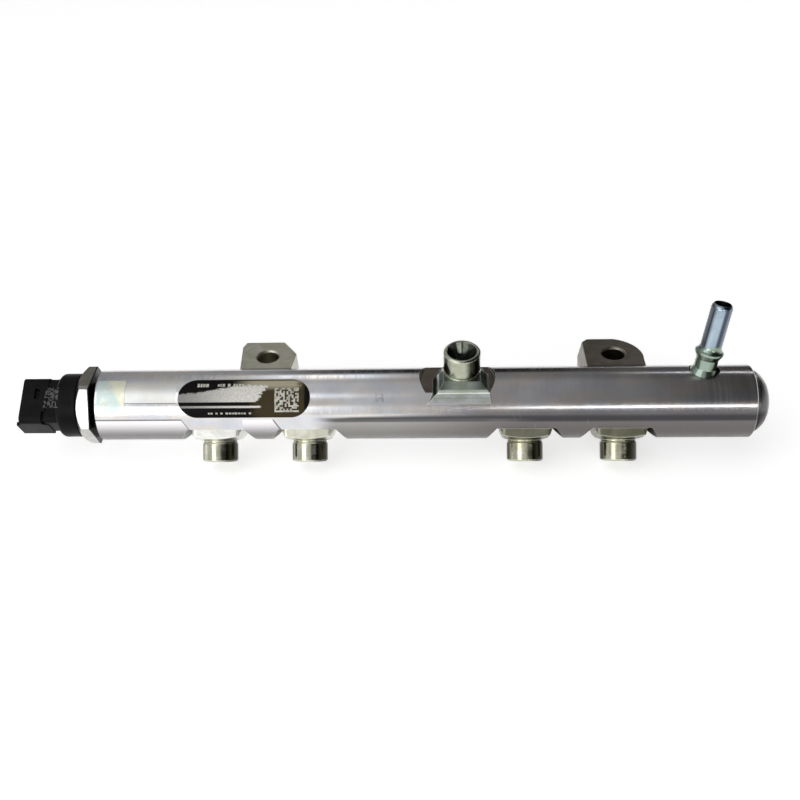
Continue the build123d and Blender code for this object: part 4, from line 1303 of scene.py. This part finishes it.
@dataclass
class ReliefSpring:
    """The relief spring, stood in for the imported one; on the rail it shortens as the plunger
    lifts off its seat.
    """

    frame: dict
    node: str = "valve_spring"
    body: str = "rail"
    joint: str = "relief_valve_lift"

    def build(self) -> bpy.types.Object:
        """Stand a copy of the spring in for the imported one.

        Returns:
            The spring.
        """
        packed = self.frame["nodes"][self.node]
        spring = bpy.data.objects.new("relief_spring", packed.data.copy())
        spring.matrix_world = packed.matrix_world.copy()
        bpy.context.scene.collection.objects.link(spring)
        for place, given in zip(spring.material_slots, packed.material_slots):
            place.link = "OBJECT"
            place.material = given.material
        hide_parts(self.node)
        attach(spring, self.body)
        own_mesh(spring)
        return spring


@dataclass
class LabelPrint:
    """A square of random cells and rows of short bars printed on the data label."""

    radius: float = 14.125
    thickness: float = 0.01
    step_height: float = 0.7
    code_start: float = 71.4
    code_top: float = 6.2
    code_side: float = 9.4
    code_cells: int = 14
    code_share: float = 0.52
    seed: int = 11
    rows: tuple[Area, ...] = (
        (41.0, 45.4, 7.3, 1.5),
        (49.0, 60.6, 7.3, 1.3),
        (45.4, 61.4, -3.6, 0.8),
    )
    bar_width: Range = (0.5, 1.1)
    bar_share: Range = (0.7, 1.0)
    bar_gaps: tuple[float, ...] = (0.25, 0.3, 0.3, 1.1)
    verts: list[Vector] = field(default_factory=list)
    faces: list[tuple[int, ...]] = field(default_factory=list)

    def around(self, station: float, height: float, radius: float) -> Vector:
        """Find a point of the barrel's front.

        Args:
            station: The distance along the rail, in mm.
            height: The height over the axis, along the outlets, in mm.
            radius: The distance from the rail's axis, in mm.

        Returns:
            The point, in metres.
        """
        depth = -math.sqrt(radius**2 - height**2)
        _, y, z = (depth * back + height * up for back, up in zip(BACK, UP))
        return Vector(RAIL_START) + MM * Vector((station, y, z))

    def patch(self, start: float, end: float, low: float, high: float) -> None:
        """Add one thin printed rectangle, bent to follow the barrel.

        Args:
            start: Its left side, in mm along the rail.
            end: Its right side.
            low: Its bottom, in mm over the axis.
            high: Its top.
        """
        steps = max(1, round((high - low) / self.step_height))
        first = len(self.verts)
        for step in range(steps + 1):
            height = low + (high - low) * step / steps
            for station in (start, end):
                for radius in (self.radius, self.radius + self.thickness):
                    self.verts.append(self.around(station, height, radius))
        for a in range(first, first + 4 * steps, 4):
            self.faces += [(a + 1, a + 3, a + 7, a + 5), (a + 2, a, a + 4, a + 6)]
            self.faces += [(a, a + 1, a + 5, a + 4), (a + 3, a + 2, a + 6, a + 7)]
        z = first + 4 * steps
        self.faces += [(first, first + 2, first + 3, first + 1), (z + 1, z + 3, z + 2, z)]

    def build(self) -> bpy.types.Object:
        """Print the label, as one mesh that rides on the rail.

        Returns:
            The mesh's object.
        """
        chance = random.Random(self.seed)
        cell = self.code_side / self.code_cells
        for row in range(self.code_cells):
            for column in range(self.code_cells):
                border = column == 0 or row == self.code_cells - 1
                if border or chance.random() < self.code_share:
                    start = self.code_start + column * cell
                    top = self.code_top - row * cell
                    self.patch(start, start + cell, top - cell, top)
        for start, end, middle, height in self.rows:
            station = start
            while station < end:
                width = chance.uniform(*self.bar_width)
                rise = height * chance.uniform(*self.bar_share)
                self.patch(station, station + width, middle - rise / 2, middle + rise / 2)
                station += width + chance.choice(self.bar_gaps)
        mesh = bpy.data.meshes.new("label_print")
        mesh.from_pydata([tuple(v) for v in self.verts], [], self.faces)
        mesh.validate()
        mesh.update()
        piece = bpy.data.objects.new("label_print", mesh)
        bpy.context.scene.collection.objects.link(piece)
        mesh.materials.append(Ink().material("label_ink"))
        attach(piece, "rail")
        LOG.info("built label_print with %d faces", len(self.faces))
        return piece


@dataclass(frozen=True)
class SoftBox:
    """One soft lamp that faces the part."""

    name: str
    place: Point
    width: float
    height: float
    radiance: float
    target: Point = (0.0, -16.0 * MM, 14.0 * MM)

    def build(self) -> bpy.types.Object:
        """Set the lamp up and aim it.

        Returns:
            The lamp.
        """
        light = bpy.data.lights.new(self.name, "AREA")
        light.shape = "RECTANGLE"
        light.size, light.size_y = self.width, self.height
        light.energy = self.radiance * math.pi * self.width * self.height
        lamp = bpy.data.objects.new(self.name, light)
        lamp.location = self.place
        aim = Vector(self.target) - Vector(self.place)
        lamp.rotation_euler = aim.to_track_quat("-Z", "Y").to_euler()
        lamp.visible_camera = False
        bpy.context.scene.collection.objects.link(lamp)
        LOG.info("set %s", self.name)
        return lamp


@dataclass
class Studio:
    """The pale floor, the room's even light and the soft lamps."""

    floor_height: float = -8.2 * MM
    floor_half: float = 6.0
    floor_colour: Colour = (0.94, 0.94, 0.94)
    floor_roughness: float = 0.9
    floor_lift: float = 0.16
    floor_glow: float = 4.0
    # How bright each side of the room is, and where one turns into the next.
    walls: float = 0.62
    ceiling_left: float = 0.56
    ceiling_right: float = 0.03
    back_left: float = 0.30
    back_right: float = 0.05
    ceiling_from: Range = (0.10, 0.30)
    right_from: Range = (0.04, 0.33)
    back_from: Range = (0.15, 0.7)
    # A dark low part of the back wall, and a pale strip over it.
    low_back: float = 0.02
    low_back_sides: Band = (-0.12, 0.15, 0.05)
    low_back_top: Range = (0.56, 0.44)
    pale_strip: float = 1.9
    pale_strip_sides: Band = (-0.15, -0.055, 0.035)
    pale_strip_foot: Range = (0.56, 0.64)
    pale_strip_top: Range = (0.94, 0.74)
    lamps: tuple[SoftBox, ...] = (
        SoftBox("softbox_left_top", (-0.76, -0.60, 0.98), 1.05, 1.05, 1.05),
        SoftBox("softbox_left_front", (-0.68, -1.15, 0.36), 1.0, 0.60, 1.9),
        SoftBox("strip_front", (0.52, -1.15, 0.44), 0.84, 0.075, 9.0),
        SoftBox("strip_back", (0.62, 0.85, 0.89), 0.66, 0.06, 4.2),
    )

    def floor_material(self) -> bpy.types.Material:
        """Make the floor's matt white, lifted a little where it is seen or mirrored.

        Returns:
            The material.
        """
        material = bpy.data.materials.new("studio_floor")
        material.use_nodes = True
        web = Web(material.node_tree)
        web.tree.nodes.clear()
        matt = web.fill(
            web.add("ShaderNodeBsdfPrincipled"),
            Base_Color=self.floor_colour,
            Roughness=self.floor_roughness,
            Specular_IOR_Level=0.0,
        )
        glow = web.fill(web.add("ShaderNodeEmission"), Color=WHITE, Strength=self.floor_glow)
        ray = web.add("ShaderNodeLightPath").outputs
        seen = web.math("MAXIMUM", ray["Is Camera Ray"], ray["Is Glossy Ray"])
        seen = web.math("MAXIMUM", seen, ray["Is Transmission Ray"])
        lift = web.times(seen, self.floor_lift)
        mixed = web.fill(web.add("ShaderNodeMixShader"), lift, matt.outputs[0], glow.outputs[0])
        web.fill(web.add("ShaderNodeOutputMaterial"), Surface=mixed.outputs[0])
        return material

    def floor(self) -> bpy.types.Object:
        """Lay the floor, which shows the part's soft shadow.

        Returns:
            The floor.
        """
        half = self.floor_half
        mesh = bpy.data.meshes.new("studio_floor")
        corners = [(-half, -half, 0), (half, -half, 0), (half, half, 0), (-half, half, 0)]
        mesh.from_pydata(corners, [], [(0, 1, 2, 3)])
        piece = bpy.data.objects.new("studio_floor", mesh)
        piece.location.z = self.floor_height
        bpy.context.scene.collection.objects.link(piece)
        mesh.materials.append(self.floor_material())
        return piece

    def room(self) -> None:
        """Light the room: pale walls, a ceiling that dims to the right, and a darker back."""
        world = bpy.data.worlds.new("studio_room")
        bpy.context.scene.world = world
        world.use_nodes = True
        web = Web(world.node_tree)
        web.tree.nodes.clear()
        look = web.add("ShaderNodeTexCoord").outputs["Generated"]
        x, y, z = web.fill(web.add("ShaderNodeSeparateXYZ"), look).outputs
        rightward = web.span(x, *self.right_from)
        behind = web.span(y, *self.back_from)
        back = web.blend(rightward, (self.back_left,) * 3, (self.back_right,) * 3)
        top = web.blend(rightward, (self.ceiling_left,) * 3, (self.ceiling_right,) * 3)
        side = web.blend(behind, (self.walls,) * 3, back)
        above = web.span(z, *self.ceiling_from)
        colour = web.blend(above, side, web.blend(behind, top, back))
        dark = web.times(
            web.band(x, *self.low_back_sides), behind, web.span(z, *self.low_back_top)
        )
        colour = web.blend(dark, colour, (self.low_back,) * 3)
        pale = web.times(
            web.band(x, *self.pale_strip_sides),
            behind,
            web.span(z, *self.pale_strip_foot),
            web.span(z, *self.pale_strip_top),
        )
        colour = web.blend(pale, colour, (self.pale_strip,) * 3)
        background = web.fill(web.add("ShaderNodeBackground"), Color=colour)
        web.fill(web.add("ShaderNodeOutputWorld"), Surface=background.outputs[0])

    def build(self) -> None:
        """Set up the whole studio."""
        self.floor()
        self.room()
        for lamp in self.lamps:
            lamp.build()
        LOG.info("set the studio")


@dataclass
class Viewpoint:
    """The camera, in front of the rail and above it."""

    place: Point = (-1.67 * MM, -350.43 * MM, 253.86 * MM)
    angles: Point = (54.642, 2.702, 3.128)
    lens: float = 46.81
    sensor_width: float = 36.0
    shift_across: float = 0.05
    nearest: float = 0.01

    def build(self) -> bpy.types.Object:
        """Set the camera up as the scene's own.

        Returns:
            The camera.
        """
        camera = bpy.data.cameras.new("camera")
        camera.lens = self.lens
        camera.sensor_width = self.sensor_width
        camera.sensor_fit = "HORIZONTAL"
        camera.shift_x = self.shift_across
        camera.clip_start = self.nearest
        viewer = bpy.data.objects.new("camera", camera)
        viewer.location = self.place
        viewer.rotation_euler = [math.radians(angle) for angle in self.angles]
        bpy.context.scene.collection.objects.link(viewer)
        bpy.context.scene.camera = viewer
        return viewer


def main() -> None:
    """Build the dressed fuel rail in its studio."""
    logging.basicConfig(level=logging.INFO, format="%(name)s: %(message)s")
    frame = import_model()
    bpy.context.scene.view_settings.view_transform = "Standard"
    Viewpoint().build()
    PackedPart(frame).dress()
    ReliefSpring(frame).build()
    LabelPrint().build()
    Studio().build()


if __name__ == "__main__":
    main()
